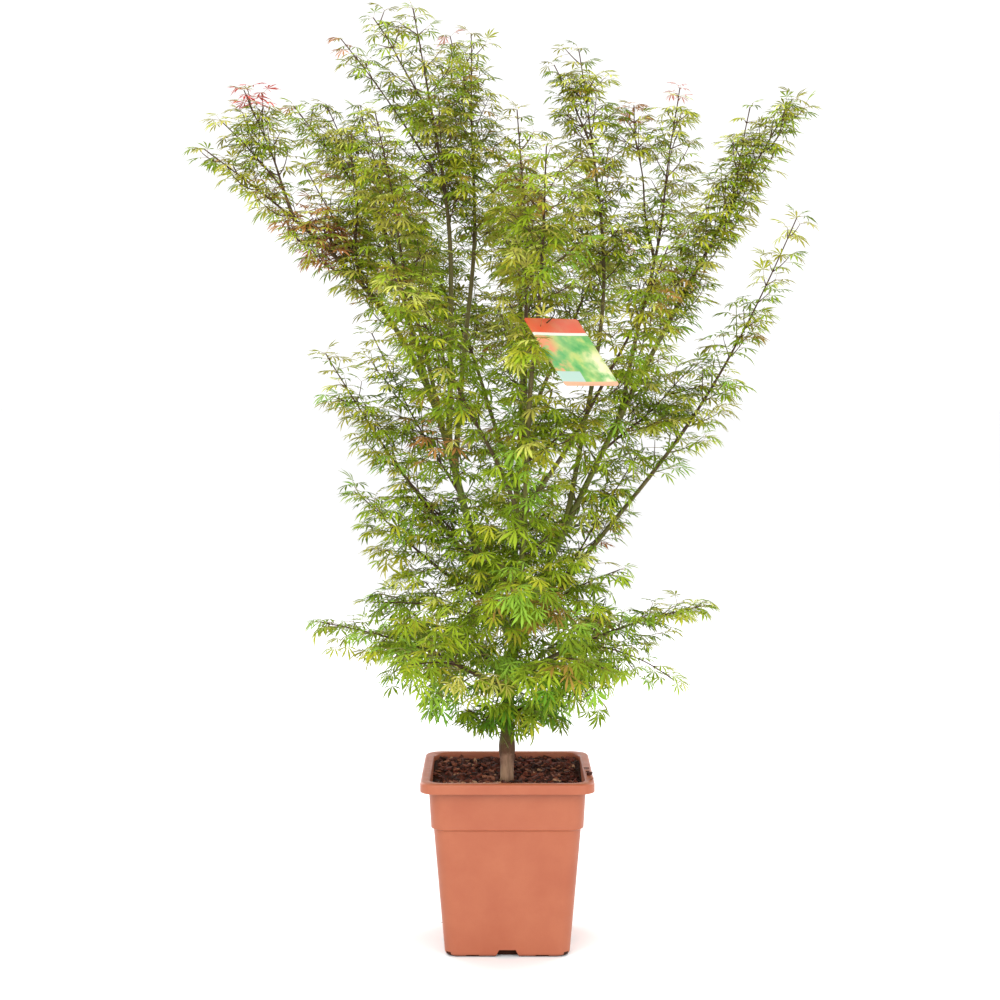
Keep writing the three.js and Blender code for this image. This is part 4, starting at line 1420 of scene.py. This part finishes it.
# Chips that lie on the right-hand rim, and a dark grain stuck low on the pot's left side:
# place, growth and tint.
STRAY_CHIPS = [
    ((0.122, -0.018, 0.2678), 0.8, 2),
    ((0.1245, -0.062, 0.2685), 1.2, 1),
    ((0.1256, -0.092, 0.268), 1.0, 4),
    ((0.1222, -0.044, 0.2678), 0.9, 1),
    ((-0.0966, -0.075, 0.047), 0.35, 0),
]


def on_pale_patch(x, y):
    return any(math.hypot(x - spot[0], y - spot[1]) < reach for spot, reach in PALE_PATCHES)


def make_chips():
    rng = random.Random(SEED + 1)
    chips = []
    inner = (SOIL_HALF - 5) * MM
    while len(chips) < CHIP_COUNT:
        x, y = rng.uniform(-inner, inner), rng.uniform(-inner, inner)
        if math.hypot(x, y) < TRUNK_CLEAR:
            continue
        pale = on_pale_patch(x, y) and rng.random() < PALE_CHANCE
        tint = rng.choices(range(len(CHIP_TINTS)), PALE_SHARES if pale else CHIP_SHARES)[0]
        lift = rng.uniform(1, 4) if pale else rng.uniform(0, 3)
        spot = Vector((x, y, soil_height(x, y) + lift * MM))
        chips.append((spot, CHIP_TILT, PALE_GROWTH if pale else 1, tint))
    chips += [(Vector(spot), STRAY_TILT, growth, tint) for spot, growth, tint in STRAY_CHIPS]
    points, faces, numbers = [], [], []
    for where, tilt, growth, tint in chips:
        made, sides = chip(rng, where, tilt, growth)
        faces += [tuple(len(points) + corner for corner in f) for f in sides]
        points += made
        numbers += [tint] * len(sides)
    materials = [plain(f"chip_{i}", tint, 0.85, 0.3) for i, tint in enumerate(CHIP_TINTS)]
    bed = new_mesh("bark_chips", points, faces, materials, numbers, rounded=False)
    place(bed, "compost", "soil")


# ---- The sale label --------------------------------------------------------------------

CARD_GRID = 6  # spacing of the points between which the card can bend, in mm
CARD_CURL = 1.6  # how far its edges curl, in mm
CARD_MARGIN = 3  # how far those points keep off the card's edges
CORNER_PARTS, HOLE_PARTS = 6, 24  # straight parts of each rounded corner, and of the hole


def card_outline():
    """The card's rounded rectangle, anticlockwise, in mm."""
    wide, high, corner = CARD["width"] / 2, CARD["height"] / 2, CARD["corner"]
    outline = []
    for number, (sx, sy) in enumerate(((1, 1), (-1, 1), (-1, -1), (1, -1))):
        for step in range(CORNER_PARTS + 1):
            angle = (number + step / CORNER_PARTS) * math.pi / 2
            x = sx * (wide - corner) + corner * math.cos(angle)
            outline.append((x, sy * (high - corner) + corner * math.sin(angle)))
    return outline


def card_face():
    """Points, triangles and border edges of the card's face, with its punched hole."""
    outline = card_outline()
    middle, radius = Vector(CARD_HOLE), CARD["hole"]
    hole = []
    for i in range(HOLE_PARTS):
        angle = 2 * math.pi * i / HOLE_PARTS
        hole.append(middle + Vector((radius * math.cos(angle), -radius * math.sin(angle))))
    points = [*map(Vector, outline), *hole]
    border = [(i, (i + 1) % len(outline)) for i in range(len(outline))]
    first = len(outline)
    border += [(first + i, first + (i + 1) % len(hole)) for i in range(len(hole))]
    wide, high = CARD["width"] / 2 - CARD_MARGIN, CARD["height"] / 2 - CARD_MARGIN
    columns, rows = round(2 * wide / CARD_GRID), round(2 * high / CARD_GRID)
    for i in range(columns + 1):
        for j in range(rows + 1):
            spot = Vector((-wide + 2 * wide * i / columns, -high + 2 * high * j / rows))
            if (spot - middle).length > radius + 2:
                points.append(spot)
    made = geometry.delaunay_2d_cdt(points, border, [], 4, 1e-5)
    return made[0], made[2]


def border_edges(faces):
    """Edges that only one face has, each in that face's direction."""
    edges = {(f[i], f[(i + 1) % len(f)]) for f in faces for i in range(len(f))}
    return [edge for edge in edges if (edge[1], edge[0]) not in edges]


def make_card():
    flat, faces = card_face()
    points, prints = [], []
    for level in (CARD["thick"] / 2, -CARD["thick"] / 2):
        for x, y in flat:
            bend = CARD_CURL * 2 * ((x / CARD["width"]) ** 2 - (y / CARD["height"]) ** 2)
            points.append(CARD_FRAME @ metres((x, y, level + bend)))
            prints.append((x, y, 0))
    count = len(flat)
    both = [tuple(f) for f in faces] + [tuple(count + i for i in reversed(f)) for f in faces]
    rim = [(b, a, count + a, count + b) for a, b in border_edges(faces)]
    numbers = [0] * len(faces) + [1] * len(faces) + [0] * len(rim)
    materials = [card_print(), card_back()]
    card = new_mesh("label_plate", points, both + rim, materials, numbers, rounded=False)
    drawn = card.data.attributes.new("print", "FLOAT_VECTOR", "POINT")
    drawn.data.foreach_set("vector", np.array(prints, np.float32).ravel())
    place(card, "label_card", "label_card")


def thread_ring():
    """Centre, two axes and radius of the model's ring of string."""
    mesh = bpy.data.objects["label_tie"].data
    points = np.array([tuple(v.co) for v in mesh.vertices])
    centre = points.mean(0)
    _, _, axes = np.linalg.svd(points - centre)
    radius = np.linalg.norm((points - centre) @ axes[:2].T, axis=1).mean()
    return Vector(centre), Vector(axes[0]), Vector(axes[1]), float(radius)


THREAD = {"strand": 0.55, "offset": 0.42, "turns": 22, "rings": 176, "sides": 6}  # mm


def make_tie():
    """Two strands twisted round each other into a closed ring of string."""
    centre, one, two, radius = thread_ring()
    normal = one.cross(two)
    points, faces = [], []
    for strand in (0, math.pi):
        first = len(points)
        for ring in range(THREAD["rings"]):
            angle = 2 * math.pi * ring / THREAD["rings"]
            out = one * math.cos(angle) + two * math.sin(angle)
            twist = THREAD["turns"] * angle + strand
            middle = centre + out * radius
            middle += (out * math.cos(twist) + normal * math.sin(twist)) * THREAD["offset"] * MM
            for side in range(THREAD["sides"]):
                turn = 2 * math.pi * side / THREAD["sides"]
                step = out * math.cos(turn) + normal * math.sin(turn)
                points.append(middle + step * THREAD["strand"] * MM)
        loop = tube_faces(THREAD["rings"] + 1, THREAD["sides"])
        total = THREAD["rings"] * THREAD["sides"]
        faces += [tuple(first + corner % total for corner in f) for f in loop]
    tie = new_mesh("label_string", points, faces, [string_fibre()])
    place(tie, "label_string", "label_tie")


# ---- Camera, light and floor -----------------------------------------------------------

CAMERA_PLACE = (-0.011, -2.95, 0.86)
FRAME_SCALE = 1.911  # focal length over the frame's width
SENSOR = 36  # the frame's width in mm
SHIFT = -0.118  # of the picture down the frame, as a share of its width


def make_camera():
    data = bpy.data.cameras.new("camera")
    data.sensor_width = SENSOR
    data.lens = FRAME_SCALE * SENSOR
    data.shift_y = SHIFT
    camera = bpy.data.objects.new("camera", data)
    camera.location = CAMERA_PLACE
    camera.rotation_euler = (math.pi / 2, 0, 0)
    bpy.context.scene.collection.objects.link(camera)
    bpy.context.scene.camera = camera


def area_light(name, where, size, power):
    data = bpy.data.lights.new(name, "AREA")
    data.shape, data.size, data.energy = "SQUARE", size, power
    light = bpy.data.objects.new(name, data)
    light.location = where
    aim = Vector(LAMP_AIM) - Vector(where)
    light.rotation_euler = aim.to_track_quat("-Z", "Y").to_euler()
    bpy.context.scene.collection.objects.link(light)


FLOOR_RADIUS = 60
AMBIENT = 1.12  # brighter than the floor's white, so that floor and backdrop run together
LAMP_AIM = (0, 0, 0.7)
# Large soft lamps: place, side and power.
LAMPS = {
    "key": ((-1.4, -3.2, 2.6), 2.4, 75),
    "fill": ((2.0, -3.0, 1.4), 2.4, 45),
    "back_left": ((-2.4, 2.8, 1.8), 2.4, 60),
    "back_right": ((2.6, 2.4, 2.2), 2.4, 60),
    "top": ((0.1, 0.2, 4.2), 2.4, 30),
}


def make_stage():
    """A white floor that runs into a white backdrop, and large soft lamps all round."""
    material = plain("floor", "#f4f4f4", 0.9, 0.1)
    start = Vector((FLOOR_RADIUS, 0, 0))
    rim = [Matrix.Rotation(math.radians(a), 3, "Z") @ start for a in range(0, 360, 5)]
    new_mesh("floor", rim, [tuple(range(len(rim)))], [material], rounded=False)
    world = bpy.data.worlds.new("studio")
    world.use_nodes = True
    backdrop = world.node_tree.nodes["Background"]
    backdrop.inputs["Color"].default_value = (1, 1, 1, 1)
    backdrop.inputs["Strength"].default_value = AMBIENT
    bpy.context.scene.world = world
    for name, (where, side, power) in LAMPS.items():
        area_light(name, where, side, power)
    bpy.context.scene.view_settings.view_transform = "Standard"


make_camera()
make_stage()
LIMBS = make_limbs()
make_pot()
make_soil()
make_chips()
make_bark(LIMBS)
make_foliage(LIMBS)
make_card()
make_tie()
